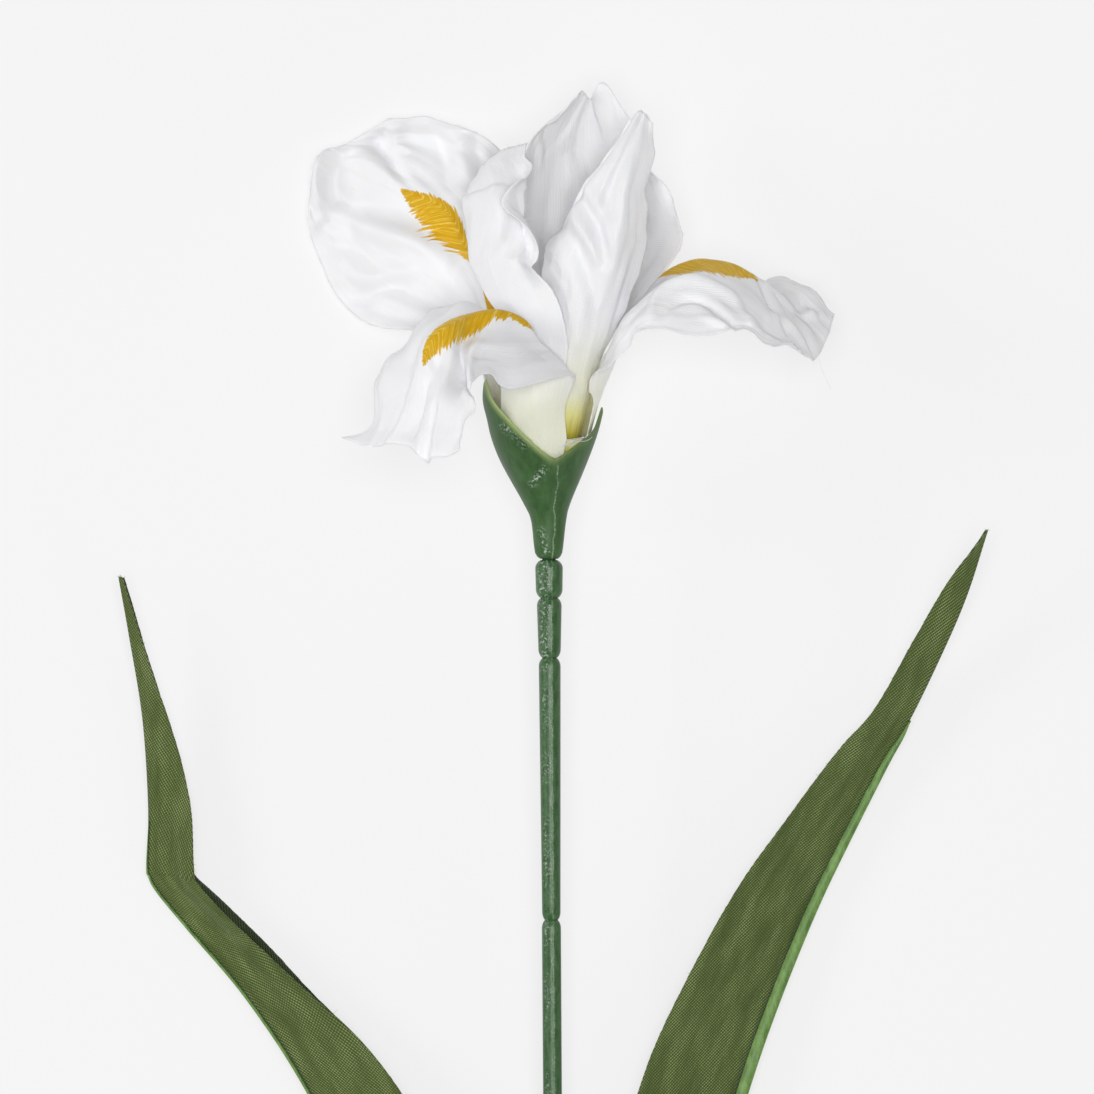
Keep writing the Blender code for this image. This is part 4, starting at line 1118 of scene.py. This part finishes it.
def pressed_relief(lobe, surface, settings):
    """Height of all that is pressed in a lobe, in mm: folds, pleats that fan out from the foot,
    soft crumples, and waves that grow towards the cut edge."""
    s, t, x, y = surface.s, surface.t, surface.x, surface.y
    relief = np.zeros_like(s)
    for fold in lobe.folds:
        relief += settings.fold_depth * fold_height(surface, fold)
    for lap in lobe.laps:
        relief += fold_height(surface, lap, lapped=True)
    blade = smooth_step(s, 0.05, 0.4)
    width = x[:, -1:] - x[:, :1]
    spread = (t - 0.5) * width.max()
    for at, (pitch, height) in enumerate(lobe.pleats):
        fan = ripples(spread, y, pitch, lobe.seed + at, stretch=5.0)
        relief += height * blade * (width / width.max()) ** 0.8 * fan
    relief += lobe.crumple * blade * ripples(x, y, CRUMPLE_LENGTH, lobe.seed + 30)
    fine = ripples(x, y, FINE_CRUMPLE_LENGTH, lobe.seed + 35, stretch=1.6)
    relief += 0.3 * lobe.crumple * smooth_step(s, 0.3, 0.9) * fine
    near_edge = np.exp(-np.minimum(t, 1.0 - t) * width / MARGIN_WIDTH)
    relief += lobe.margin * blade * near_edge * ripples(x * 0.3, y, MARGIN_LENGTH, lobe.seed + 40)
    return relief


def beard_field(lobe, surface):
    """Three numbers in mm to a point: how far inside the beard's outline it is, which stroke it
    is on, and the length of the teeth there.

    A stroke leaves the beard's own line towards the tip, so its number is the way along the
    midrib less the way out from that line.
    """
    s, t = surface.s, surface.t
    if not lobe.beard:
        return np.stack((np.full_like(s, -9.0), surface.y, np.zeros_like(s)), axis=-1)
    at, low, high, low_teeth, high_teeth = np.array(lobe.beard).T
    width = surface.x[:, -1:] - surface.x[:, :1]
    low_edge = np.interp(s, at, low)
    high_edge = np.interp(s, at, high)
    inside = np.minimum(t - low_edge, high_edge - t) * width
    length = surface.y[-1, 0]
    ends = np.minimum(s - at[0], at[-1] - s) * length
    inside = np.where(ends < 0.0, np.minimum(inside, ends), inside)
    line = low_edge + (high_edge - low_edge) * lobe.beard_axis
    low_rise, high_rise = STROKE_RISE
    stroke = surface.y - np.where(t > line, high_rise, low_rise) * np.abs(t - line) * width
    teeth = np.where(t > line, np.interp(s, at, high_teeth), np.interp(s, at, low_teeth))
    return np.stack((inside, stroke, teeth), axis=-1)


def dye_share(lobe, surface):
    """Share of dye: a half where it is cream and full where it is olive."""
    cream = 1.0 - smooth_step(surface.s, *lobe.cream)
    olive = 1.0 - smooth_step(surface.s, *lobe.olive)
    return 0.5 * cream + 0.5 * olive


def frayed(surface, settings, seed, share=1.0):
    """Move the cut edges in and out along the cloth by seeded noise, and leave the joined foot.

    Share scales the noise for cloth that frays less.
    """
    points = surface.points.copy()
    furthest = share * settings.fray / MM
    amount = furthest * smooth_step(surface.s[:, 0], 0.02, 0.12)
    for edge, inner, shift in ((0, 1, 1), (-1, -2, 2)):
        outward = points[:, edge] - points[:, inner]
        outward /= np.maximum(np.linalg.norm(outward, axis=-1, keepdims=True), 1e-9)
        noise = np.random.default_rng(seed + shift).uniform(-1.0, 1.0, len(points))
        points[:, edge] += outward * (amount * noise)[:, None]
    outward = points[-1] - points[-2]
    outward /= np.linalg.norm(outward, axis=-1, keepdims=True)
    noise = np.random.default_rng(seed + 3).uniform(-1.0, 1.0, points.shape[1])
    points[-1] += outward * (furthest * noise)[:, None]
    return points


def resting(points, gap):
    """Lift points that lie lower than a gap in metres over the table up to that gap."""
    up = np.array((0.0, math.sin(LEAN), math.cos(LEAN)))
    under = (gap - in_frame(points)[..., 2]) / MM
    return points + np.maximum(under, 0.0)[..., None] * up


def pressed_lobe(lobe, funnel, settings):
    """A lobe's surface with its relief along the normals of the smooth one, on the table."""
    surface = lobe_surface(lobe, funnel, settings)
    relief = pressed_relief(lobe, surface, settings) * smooth_step(surface.s, 0.0, 0.15)
    surface.points = surface.points + shown_normals(lobe, surface.points) * relief[..., None]
    surface.points = frayed(surface, settings, lobe.seed)
    surface.points = resting(surface.points, REST_SHARE * settings.petal_thickness)
    return surface


def cloth_layer(name, lobes, funnel, settings):
    """One die-cut layer: three pressed lobes welded along their funnel, with the cloth's thickness.

    Its faces point to the side that shows. Returns the object and the lobes' surfaces.
    """
    surfaces = [pressed_lobe(lobe, funnel, settings) for lobe in lobes]
    points, faces = [], []
    cloth, dye, beard = [], [], []
    count = 0
    for lobe, surface in zip(lobes, surfaces):
        rows, columns = surface.s.shape
        grid = grid_faces(rows, columns, start=count)
        faces += [face[::-1] for face in grid] if lobe.face > 0 else grid
        count += rows * columns
        points.append(surface.points.reshape(-1, 3))
        fan = (surface.t - 0.5) * np.ptp(surface.x, axis=1).max()
        cloth.append(np.stack((surface.x, surface.y, fan), axis=-1).reshape(-1, 3))
        dye.append(dye_share(lobe, surface).ravel())
        beard.append(beard_field(lobe, surface).reshape(-1, 3))
    attributes = {
        "cloth_mm": np.concatenate(cloth),
        "dye": np.concatenate(dye),
        "beard": np.concatenate(beard),
    }
    layer = put_mesh(name, np.concatenate(points), faces, attributes)
    shape = bmesh.new()
    shape.from_mesh(layer.data)
    bmesh.ops.remove_doubles(shape, verts=shape.verts, dist=0.02 * MM)
    shape.to_mesh(layer.data)
    shape.free()
    thicken(layer, settings.petal_thickness)
    return layer, surfaces


def thicken(sheet, thickness):
    """Give a sheet its thickness, half to each side, and its second material on its far side."""
    wall = sheet.modifiers.new("cloth thickness", "SOLIDIFY")
    wall.thickness = thickness
    wall.offset = 0.0
    wall.material_offset = 1


def loose_threads(name, starts, directions, lengths, radius, seed):
    """Thin threads: each curves off from its start, three-sided and tapered, along its direction.

    A thread's line is its start plus its direction times the way along, plus a seeded sideways
    curl that grows with the square of that way.
    """
    draw = np.random.default_rng(seed)
    count = len(starts)
    steps = 6
    way = np.linspace(0.0, 1.0, steps)[None, :, None]
    side = np.cross(directions, draw.normal(size=(count, 3)))
    side /= np.maximum(np.linalg.norm(side, axis=-1, keepdims=True), 1e-9)
    curl = side[:, None] * draw.uniform(0.1, 0.7, (count, 1, 1)) * way**2
    line = starts[:, None] + lengths[:, None, None] * (directions[:, None] * way + curl)
    line = resting(line, 2.0 * radius * MM)
    other = np.cross(directions, side)
    turn = full_turn(3)[None, None, :, None]
    thick = radius * (1.0 - 0.6 * way)[..., None]
    ring = thick * (side[:, None, None] * np.cos(turn) + other[:, None, None] * np.sin(turn))
    points = (line[:, :, None] + ring).reshape(-1, 3)
    faces = []
    for at in range(count):
        start = at * steps * 3
        faces += grid_faces(steps, 3, start=start, wrap=True)
        faces.append([start + 2, start + 1, start])
        end = start + (steps - 1) * 3
        faces.append([end, end + 1, end + 2])
    made = put_mesh(name, points, faces)
    face_outwards(made)
    return made


def stray_threads(name, lines, radius):
    """Long threads that have come loose: each a fine round thread along a smooth line of points."""
    sides, steps = 4, 24
    points, faces = [], []
    for line in lines:
        path = spline_weights(len(line), np.linspace(0.0, 1.0, steps)) @ np.array(line)
        along = np.gradient(path, axis=0)
        along /= np.linalg.norm(along, axis=1, keepdims=True)
        side = np.cross(along, (0.3, 0.2, 0.9))
        side /= np.linalg.norm(side, axis=1, keepdims=True)
        other = np.cross(along, side)
        turn = full_turn(sides)[None, :, None]
        start = len(points) * steps * sides
        points.append(path[:, None] + radius * (side[:, None] * np.cos(turn) + other[:, None] * np.sin(turn)))
        faces += grid_faces(steps, sides, start=start, wrap=True)
        faces.append([start + at for at in range(sides)][::-1])
        faces.append([start + (steps - 1) * sides + at for at in range(sides)])
    made = put_mesh(name, np.concatenate(points), faces)
    face_outwards(made)
    return made


def edge_threads(surfaces, per_edge, draw):
    """Seeded starts, directions and lengths of threads along the side edges and the tips."""
    starts, directions = [], []
    for surface in surfaces:
        points = surface.points
        free = np.flatnonzero(surface.s[:, 0] > 0.2)
        for edge, inner in ((0, 2), (-1, -3)):
            rows = draw.choice(free, per_edge)
            starts.append(points[rows, edge])
            directions.append(points[rows, edge] - points[rows, inner])
        columns = draw.integers(0, points.shape[1], per_edge)
        starts.append(points[-1, columns])
        directions.append(points[-1, columns] - points[-3, columns])
    starts = np.concatenate(starts)
    directions = np.concatenate(directions)
    size = np.linalg.norm(directions, axis=1, keepdims=True)
    directions += draw.normal(scale=0.9, size=directions.shape) * size
    directions /= np.linalg.norm(directions, axis=1, keepdims=True)
    lengths = 0.15 + draw.exponential(0.28, len(starts))
    return starts, directions, np.minimum(lengths, LONGEST_THREAD)


def dress(piece, material, slot, *nodes, far_face=None):
    """Give a piece its material, its body and the solids that it stands for.

    Far face is the material of a sheet's other side, where that differs. Slot is not used.
    """
    piece.data.materials.append(material)
    if far_face:
        piece.data.materials.append(far_face)
    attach(piece, "root")
    if nodes:
        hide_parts(*nodes)


def paint_solid(node, material):
    """Give a solid that stays as it is its material."""
    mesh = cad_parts[node].data
    mesh.materials.clear()
    mesh.materials.append(material)


class IRIS_OT_petals(bpy.types.Operator):
    """Make the falls, the standards and their frayed threads"""

    bl_idname = "iris.petals"
    bl_label = "Petals"

    def execute(self, context):
        settings = context.scene.iris_cloth
        printed = petal_cloth("woven_polyester_white", settings, True)
        plain = petal_cloth("woven_polyester_white_far_face", settings, False)
        falls, fall_lobes = cloth_layer(
            "petal_falls", (RIGHT_FALL, FRONT_LEFT_FALL, REAR_LEFT_FALL), FALL_FUNNEL, settings
        )
        standards, standard_lobes = cloth_layer(
            "petal_standards", (FRONT_STANDARD, LEFT_STANDARD, REAR_STANDARD), STANDARD_FUNNEL, settings
        )
        dress(falls, printed, "petal", "falls", far_face=plain)
        dress(standards, plain, "petal", "standards")
        draw = np.random.default_rng(5)
        frayed_out = edge_threads(fall_lobes + standard_lobes, PETAL_EDGE_THREADS, draw)
        threads = loose_threads("petal_threads", *frayed_out, PETAL_THREAD_RADIUS, 6)
        white = filament("polyester_filament", linear("#EDEDE8"), settings.white, 400.0, 0.4)
        dress(threads, white, "petal")
        dress(stray_threads("stray_threads", STRAY_THREADS, STRAY_THREAD_RADIUS), white, "petal")
        return {"FINISHED"}


# Calyx and stem


def rim_height(turn):
    """Height of the calyx's rim: the rim line read by the cosine of the turn, softly rounded."""
    sharp = np.interp(np.cos(turn), *np.array(RIM_LINE).T)
    return (np.roll(sharp, 1) + 2.0 * sharp + np.roll(sharp, -1)) / 4.0


def seam_gap(turn, seam):
    """Angle from each turn to the mould's parting line, which runs before and behind."""
    return np.abs(np.angle(np.exp(2j * (turn - seam)))) / 2


def seam_turn(sides, seam):
    """Angles of a ring's points, closest together at the parting line."""
    even = full_turn(sides) + seam
    return even - 0.3 * np.sin(2.0 * (even - seam))


def wear_and_highlight_marks(rim, seam, scuff_and_glint):
    """The three attributes that worn plastic reads, each from its shares ring by ring: rim, parting line and
    scuffs. The rim's and the scuffs' shares carry painted highlight too.
    """
    return {"rim": np.array(rim).ravel(), "seam": np.array(seam).ravel(), "scuff_and_glint": np.array(scuff_and_glint).ravel()}


def make_calyx(settings):
    """The cup's wall, outside, over its rim and down inside to its floor and bore.

    The outside is the profile's radius at each height, round a middle that drifts left. A ridge
    like a bell stands on it along the parting line, before and behind. Scuffs fall off like a bell
    from their lines, on the front only.
    """
    turn = seam_turn(CALYX_SIDES, CALYX_SEAM)
    rim = rim_height(turn)
    profile = np.array(CALYX_PROFILE)
    fine = spline_weights(len(profile), np.linspace(0.0, 1.0, 300)) @ profile
    level = np.ones(CALYX_SIDES)
    seam = settings.seam_height / MM
    rings, worn, lines, scuffs = [], [], [], []

    def add_ring(ring, pale_edge_and_highlight, line=0.0, scuffed_and_glinting=0.0):
        rings.append(ring)
        worn.append(level * pale_edge_and_highlight)
        lines.append(level * line)
        scuffs.append(level * scuffed_and_glinting)

    def wall(height, inset):
        radius = np.interp(height, fine[:, 0], fine[:, 1]) - inset
        shift = np.interp(height, fine[:, 0], fine[:, 2])
        return radius, shift

    def around(height, radius, shift):
        return np.stack((shift + radius * np.cos(turn), level * height, radius * np.sin(turn)), axis=-1)

    def outside(height, inset, pale_edge_and_highlight):
        radius, shift = wall(height, inset)
        wander = CALYX_SEAM + 0.035 * np.sin(height / 1.7) + 0.02 * np.sin(height / 0.63)
        line = np.exp(-((seam_gap(turn, wander) * radius / CALYX_SEAM_WIDTH) ** 2))
        ring = around(height, radius + seam * line, shift)
        scuffed_and_glinting = np.zeros_like(turn)
        for scuff_and_glint in CALYX_SCUFFS:
            gap = line_distance(ring[:, 0], ring[:, 1], scuff_and_glint)[0]
            scuffed_and_glinting = np.maximum(scuffed_and_glinting, np.exp(-((gap / CALYX_SCUFF_WIDTH) ** 2)))
        add_ring(ring, pale_edge_and_highlight, line, scuffed_and_glinting * (np.sin(turn) > 0.0))

    for height in (CALYX_BOTTOM, CALYX_FLOOR):
        add_ring(around(height, CALYX_BORE, 0.0), 0.0)
    for share in np.linspace(0.0, 0.97, 22):
        height = CALYX_FLOOR + (rim - CALYX_FLOOR) * share
        add_ring(around(height, *wall(height, CALYX_WALL)), smooth_step(share, 0.9, 1.0))
    # Pale is painted highlight: it makes the rim and the band under it paler on the left, where the light
    # falls, than on the right.
    pale = 0.3 + 0.7 * smooth_step(-np.cos(turn), -0.4, 0.1)
    for inset, drop, pale_edge_and_highlight in RIM_BEVEL:
        add_ring(around(rim - drop, *wall(rim - drop, inset)), pale_edge_and_highlight * pale)
    top = RIM_BEVEL[-1][1]
    for share in np.linspace(0.985, 0.05, 60):
        height = FOOT_ROUND_TOP + (rim - top - FOOT_ROUND_TOP) * share
        outside(height, 0.0, 0.3 * pale * (1.0 - smooth_step(rim - height, top, 2.6)))
    for height in (FOOT_ROUND_TOP, 0.9, 0.5, CALYX_BOTTOM):
        outside(level * height, FOOT_ROUND * (1.0 - min(1.0, (height - CALYX_BOTTOM) / 1.2) ** 0.5), 0.0)
    marks = wear_and_highlight_marks(worn, lines, scuffs)
    return skin_rings("calyx_cup", np.array(rings), closed=True, attributes=marks)


class IRIS_OT_calyx(bpy.types.Operator):
    """Make the two-horned calyx"""

    bl_idname = "iris.calyx"
    bl_label = "Calyx"

    def execute(self, context):
        settings = context.scene.iris_plastic
        shades = (linear("#375730"), settings.calyx_green, linear("#4A6E42"))
        material = worn_plastic_painted_highlight("polyethylene_calyx", shades, 0.42, 2.2, 0.28, settings.rim_green)
        dress(make_calyx(settings), material, "calyx", "calyx")
        return {"FINISHED"}


def stem_radii():
    """v and radius of the stem from the top down.

    Between two necks the radius runs straight from the joint's upper to its lower width. At each
    end it falls to the neck along a quarter ellipse, drawn in a little more next to the neck.
    """
    rows = []
    for above, below in zip(STEM_JOINTS, STEM_JOINTS[1:]):
        top, neck_top = above[:2]
        bottom, neck_bottom, wide_top, wide_bottom = below
        length = top - bottom
        round_end = SHOULDER * (1.0 - np.cos(np.linspace(0.0, math.pi / 2, 10)[:-1]))
        straight = np.linspace(SHOULDER, length / 2, max(4, int(length / 3.0)))
        down = np.concatenate((round_end, straight))
        down = np.unique(np.concatenate((down, length - down)))
        share = down / length
        wide = wide_top + (wide_bottom - wide_top) * share
        near = np.minimum(down, length - down)
        neck = np.where(share < 0.5, neck_top, neck_bottom)
        swell = (1.0 - (1.0 - np.clip(near / SHOULDER, 0.0, 1.0)) ** 2) ** 0.75
        radius = neck + (wide - neck) * swell
        rows.append(np.stack((top - down, radius), axis=1)[(0 if not rows else 1):])
    return np.concatenate(rows)


def make_stem(settings):
    """The stem's skin: spigot, beads and joints, cut end and the bore of its wire.

    A ridge like a bell stands along the parting line. Scuffs lie left of it, where the light's
    highlight falls, and come and go along the stem, most of all on the short beads below the calyx.
    Their pale specks there are partly painted highlight.
    """
    turn = seam_turn(STEM_SIDES, STEM_SEAM)
    seam = settings.seam_height / MM
    level = np.ones(STEM_SIDES)
    spigot = (
        (SPIGOT_TOP, SPIGOT_RADIUS - SPIGOT_CHAMFER),
        (SPIGOT_TOP - SPIGOT_CHAMFER, SPIGOT_RADIUS),
        (-0.1, SPIGOT_RADIUS),
    )
    bore = ((STEM_BOTTOM, BORE_RADIUS), (BORE_TOP, BORE_RADIUS))
    off = np.angle(np.exp(1j * (turn - STEM_SEAM - SCUFF_AND_HIGHLIGHT_TURN)))
    scuffed_and_glinting = np.exp(-((off / SCUFF_AND_HIGHLIGHT_SPREAD) ** 2))
    rings, lines, scuffs = [], [], []
    for v, radius in (*spigot, *stem_radii(), *bore):
        wander = STEM_SEAM + 0.05 * math.sin(v / 1.3) + 0.03 * math.sin(v / 0.47)
        line = np.exp(-((seam_gap(turn, wander) * radius / STEM_SEAM_WIDTH) ** 2))
        line = line * (radius > SPIGOT_RADIUS + 0.02)
        around = radius + seam * line
        ring = (STEM_DRIFT * v + around * np.cos(turn), level * v, around * np.sin(turn))
        rings.append(np.stack(ring, axis=-1))
        lines.append(0.5 * line)
        patch = 0.95 if v > BEADS_END else 0.33 + 0.27 * math.sin(v / 3.1 + 1.2 * math.sin(v / 7.7))
        scuffs.append(patch * scuffed_and_glinting)
    marks = wear_and_highlight_marks(np.zeros((len(rings), STEM_SIDES)), lines, scuffs)
    return skin_rings("stem_moulding", np.array(rings), attributes=marks)


class IRIS_OT_stem(bpy.types.Operator):
    """Make the pinched stem"""

    bl_idname = "iris.stem"
    bl_label = "Stem"

    def execute(self, context):
        settings = context.scene.iris_plastic
        shades = (linear("#34552D"), settings.stem_green, linear("#4C7246"))
        material = worn_plastic_painted_highlight("polyethylene_stem", shades, 0.34, 1.0, 0.42, settings.rim_green)
        dress(make_stem(settings), material, "stem", "stem")
        return {"FINISHED"}


# Leaves


def leaf_lines(leaf):
    """The upper wing's edge, the fold and the lower wing's edge, as three lines of points."""
    return tuple(np.asarray(leaf, dtype=float).transpose(1, 0, 2))


def make_leaf(name, leaf, seed, settings):
    """A blade of cloth folded to a V: straight lines from the fold to each edge, softly waved.

    Its faces point out of the V on both sides of the fold. Returns the object and its surface.
    """
    along = np.linspace(0.0, 1.0, LEAF_ROWS)
    share = spline_weights(len(leaf), along)
    upper, fold, lower = (share @ side for side in leaf_lines(leaf))
    step = np.linspace(0.0, 1.0, WING_COLUMNS + 1)[None, :, None]
    front = upper[:, None] * (1.0 - step) + fold[:, None] * step
    back = fold[:, None] * (1.0 - step) + lower[:, None] * step
    points = np.concatenate((front, back[:, 1:]), axis=1)
    columns = points.shape[1]
    x = running_length(points, 1)
    x -= x[:, [WING_COLUMNS]]
    y = np.repeat(running_length(points, 0)[:, [WING_COLUMNS]], columns, axis=1)
    width = np.maximum(np.abs(x[:, [0]]), 0.5)
    off = np.clip(np.abs(x) / width, 0.0, 1.0)
    height, length, stretch = LEAF_WAVES
    relief = height * ripples(x * 1.6, y, length, seed, stretch=stretch) * off
    height, length, stretch = LEAF_RIPPLES
    relief += height * ripples(x, y, length, seed + 1, stretch=stretch) * off
    s, t = np.meshgrid(along, np.linspace(0.0, 1.0, columns), indexing="ij")
    surface = Surface(points + grid_normals(points) * relief[..., None], s, t, x, y)
    surface.points = frayed(surface, settings, seed, LEAF_FRAY_SHARE)
    surface.points = resting(surface.points, REST_SHARE * settings.leaf_thickness)
    flat = np.stack((x, y, np.zeros_like(x)), axis=-1)
    faces = grid_faces(LEAF_ROWS, columns)
    if fold[0, 0] < upper[0, 0]:
        faces = [face[::-1] for face in faces]
    blade = put_mesh(name, surface.points, faces, {"cloth_mm": flat.reshape(-1, 3)})
    thicken(blade, settings.leaf_thickness)
    return blade, surface


def make_rib(name, leaf, side, full_width):
    """A moulded strip along the fold: an ellipse carried along it, which runs on as the stalk.

    Side is -1 for the left leaf and 1 for the right one.
    """
    rows, sides = 120, 20
    share = spline_weights(len(leaf), np.linspace(0.0, RIB_REACH, rows))
    upper, fold, lower = (share @ edge for edge in leaf_lines(leaf))
    along = np.gradient(fold, axis=0)
    along /= np.linalg.norm(along, axis=1)[:, None]
    inward = (upper + lower) / 2 - fold
    inward /= np.linalg.norm(inward, axis=1)[:, None]
    inward -= along * np.sum(along * inward, axis=1)[:, None]
    inward /= np.linalg.norm(inward, axis=1)[:, None]
    across = np.cross(along, inward)
    taper = np.sqrt(np.clip(1.0 - np.linspace(0.0, 1.0, rows) ** 3, 0.03, 1.0))
    width = full_width * taper
    thick = RIB_THICKNESS * (0.5 + 0.5 * taper)
    centre = fold - inward * (width / 2 + RIB_INSET)[:, None]
    turn = full_turn(sides)[:, None]
    stalk_u = side * STALK_OFFSET + STEM_DRIFT * COLLAR_TOP
    round_stalk = STALK_RADIUS * (inward[0] * np.cos(turn) + across[0] * np.sin(turn)) * (1.0, 0.0, 1.0)
    stalk = []
    for v in (COLLAR_TOP - STALK_DEPTH, COLLAR_TOP, COLLAR_TOP + STALK_RISE):
        stalk.append(np.array((stalk_u, v, 0.0)) + round_stalk)
    blade = (
        centre[:, None]
        + inward[:, None] * np.cos(turn) * width[:, None, None] / 2
        + across[:, None] * np.sin(turn) * thick[:, None, None] / 2
    )
    return skin_rings(name, np.concatenate((stalk, blade)))


class IRIS_OT_leaves(bpy.types.Operator):
    """Make the two folded leaves and their ribs"""

    bl_idname = "iris.leaves"
    bl_label = "Leaves"

    def execute(self, context):
        cloth = context.scene.iris_cloth
        plastic = context.scene.iris_plastic
        outer = (linear("#414F22"), cloth.leaf_green, linear("#97A46A"))
        # The far faces get darker greens than the cloth has on either side: painted shade inside the fold and
        # on the lower wing where it shows past the upper one.
        inner = (linear("#222C15"), linear("#384824"), linear("#556838"))
        green = leaf_cloth("woven_polyester_green", outer, cloth)
        shaded = leaf_cloth("woven_polyester_green_painted_shade", inner, cloth)
        shades = (linear("#567A38"), plastic.rib_green, linear("#84A860"))
        rib_green = moulded_plastic("polyethylene_rib", shades, 0.45, 1.5)
        surfaces = []
        for side, leaf, seed, width in LEAVES:
            blade, surface = make_leaf(f"leaf_blade_{side}", leaf, seed, cloth)
            dress(blade, green, "leaf", f"leaf_{side}", far_face=shaded)
            surfaces.append(surface)
            rib = make_rib(f"leaf_spine_{side}", leaf, -1.0 if side == "left" else 1.0, width)
            dress(rib, rib_green, "rib", f"leaf_rib_{side}")
        starts, directions, lengths = edge_threads(surfaces, LEAF_EDGE_THREADS, np.random.default_rng(41))
        threads = loose_threads("leaf_threads", starts, directions, 0.8 * lengths, LEAF_THREAD_RADIUS, 43)
        green_filament = filament(
            "polyester_filament_green", linear("#556A30"), linear("#8C9C62"), 300.0, 0.5
        )
        dress(threads, green_filament, "leaf")
        paint_solid("leaf_collar", rib_green)
        return {"FINISHED"}


class IRIS_OT_core(bpy.types.Operator):
    """Finish the petal hub and the stem wire"""

    bl_idname = "iris.core"
    bl_label = "Hub and wire"

    def execute(self, context):
        shades = (linear("#A79F34"), context.scene.iris_plastic.hub_green, linear("#D2CC66"))
        paint_solid("petal_hub", moulded_plastic("polyethylene_hub", shades, 0.4, 1.0))
        paint_solid("stem_wire", drawn_steel())
        return {"FINISHED"}


# Stage


def flower_axes():
    """The flower's axes u, v and w as directions in the frame."""
    origin = in_frame((0.0, 0.0, 0.0))
    axes = in_frame(np.eye(3)) - origin
    return [Vector(axis / MM) for axis in axes]


def hang_light(name, towards, side, power):
    """A soft square white light that looks at the calyx's foot from a direction in the flower's axes."""
    u, v, w = flower_axes()
    way = (u * towards[0] + v * towards[1] + w * towards[2]).normalized()
    lamp = bpy.data.lights.new(name, "AREA")
    lamp.size = side
    lamp.energy = power
    holder = bpy.data.objects.new(name, lamp)
    bpy.context.scene.collection.objects.link(holder)
    holder.location = Vector(in_frame((0.0, 0.0, 0.0))) + way * LIGHT_DISTANCE
    holder.rotation_euler = way.to_track_quat("Z", "Y").to_euler()
    holder.visible_camera = False


def lay_table():
    """A square table top just under the flower, centred on the frame's origin."""
    mesh = bpy.data.meshes.new("floor")
    corners = [(x * TABLE_HALF, y * TABLE_HALF, 0.0) for x, y in ((-1, -1), (1, -1), (1, 1), (-1, 1))]
    mesh.from_pydata(corners, [], [(0, 1, 2, 3)])
    mesh.materials.append(lit_table())
    floor = bpy.data.objects.new("floor", mesh)
    floor.location = (0.0, 0.0, -TABLE_DROP)
    bpy.context.scene.collection.objects.link(floor)


def surround(scene):
    """A pale, even room."""
    world = bpy.data.worlds.new("studio")
    world.use_nodes = True
    background = world.node_tree.nodes["Background"]
    background.inputs["Color"].default_value = opaque(linear("#F4F4F6"))
    background.inputs["Strength"].default_value = SURROUND_STRENGTH
    scene.world = world


def place_camera(scene):
    """A camera that looks square down on the flower, over the middle of the photograph's field.

    Its focal length is the sensor's width times the distance over the field's width.
    """
    u, v, w = flower_axes()
    lens = bpy.data.cameras.new("photo_camera")
    lens.sensor_width = SENSOR
    lens.lens = SENSOR * CAMERA_DISTANCE / (PHOTO_SIDE * PIXEL * MM)
    lens.clip_end = 50.0
    camera = bpy.data.objects.new("photo_camera", lens)
    scene.collection.objects.link(camera)
    middle = ((PHOTO_SIDE / 2 - AXIS_PIXEL[0]) * PIXEL, (AXIS_PIXEL[1] - PHOTO_SIDE / 2) * PIXEL, 0.0)
    turned = Matrix((u, v, w)).transposed().to_4x4()
    turned.translation = Vector(in_frame(middle)) + w * CAMERA_DISTANCE
    camera.matrix_world = turned
    scene.camera = camera


class IRIS_OT_stage(bpy.types.Operator):
    """Make the floor, the lights, the surroundings and the camera"""

    bl_idname = "iris.stage"
    bl_label = "Stage"

    def execute(self, context):
        scene = context.scene
        lay_table()
        for light in LIGHTS:
            hang_light(*light)
        surround(scene)
        place_camera(scene)
        scene.view_settings.view_transform = "Standard"
        return {"FINISHED"}


# Panel and run


class IRIS_PT_panel(bpy.types.Panel):
    """Lists the pieces of the flower and their sizes and colours"""

    bl_idname = "IRIS_PT_panel"
    bl_label = "Made iris"
    bl_space_type = "VIEW_3D"
    bl_region_type = "UI"
    bl_category = "Iris"

    def draw(self, context):
        for group in (context.scene.iris_cloth, context.scene.iris_plastic):
            box = self.layout.box()
            for name in group.__annotations__:
                box.prop(group, name)
        for operator in OPERATORS:
            self.layout.operator(operator.bl_idname)


OPERATORS = (IRIS_OT_stage, IRIS_OT_petals, IRIS_OT_calyx, IRIS_OT_stem, IRIS_OT_leaves, IRIS_OT_core)
CLASSES = (IrisCloth, IrisPlastic, *OPERATORS, IRIS_PT_panel)


def register():
    """Register the classes and hang the settings on the scene."""
    for item in CLASSES:
        bpy.utils.register_class(item)
    bpy.types.Scene.iris_cloth = bpy.props.PointerProperty(type=IrisCloth)
    bpy.types.Scene.iris_plastic = bpy.props.PointerProperty(type=IrisPlastic)


def unregister():
    """Take the settings and the classes away again."""
    del bpy.types.Scene.iris_cloth
    del bpy.types.Scene.iris_plastic
    for item in reversed(CLASSES):
        bpy.utils.unregister_class(item)


def main():
    """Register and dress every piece."""
    register()
    bpy.ops.iris.stage()
    bpy.ops.iris.petals()
    bpy.ops.iris.calyx()
    bpy.ops.iris.stem()
    bpy.ops.iris.leaves()
    bpy.ops.iris.core()


if __name__ == "__main__":
    main()
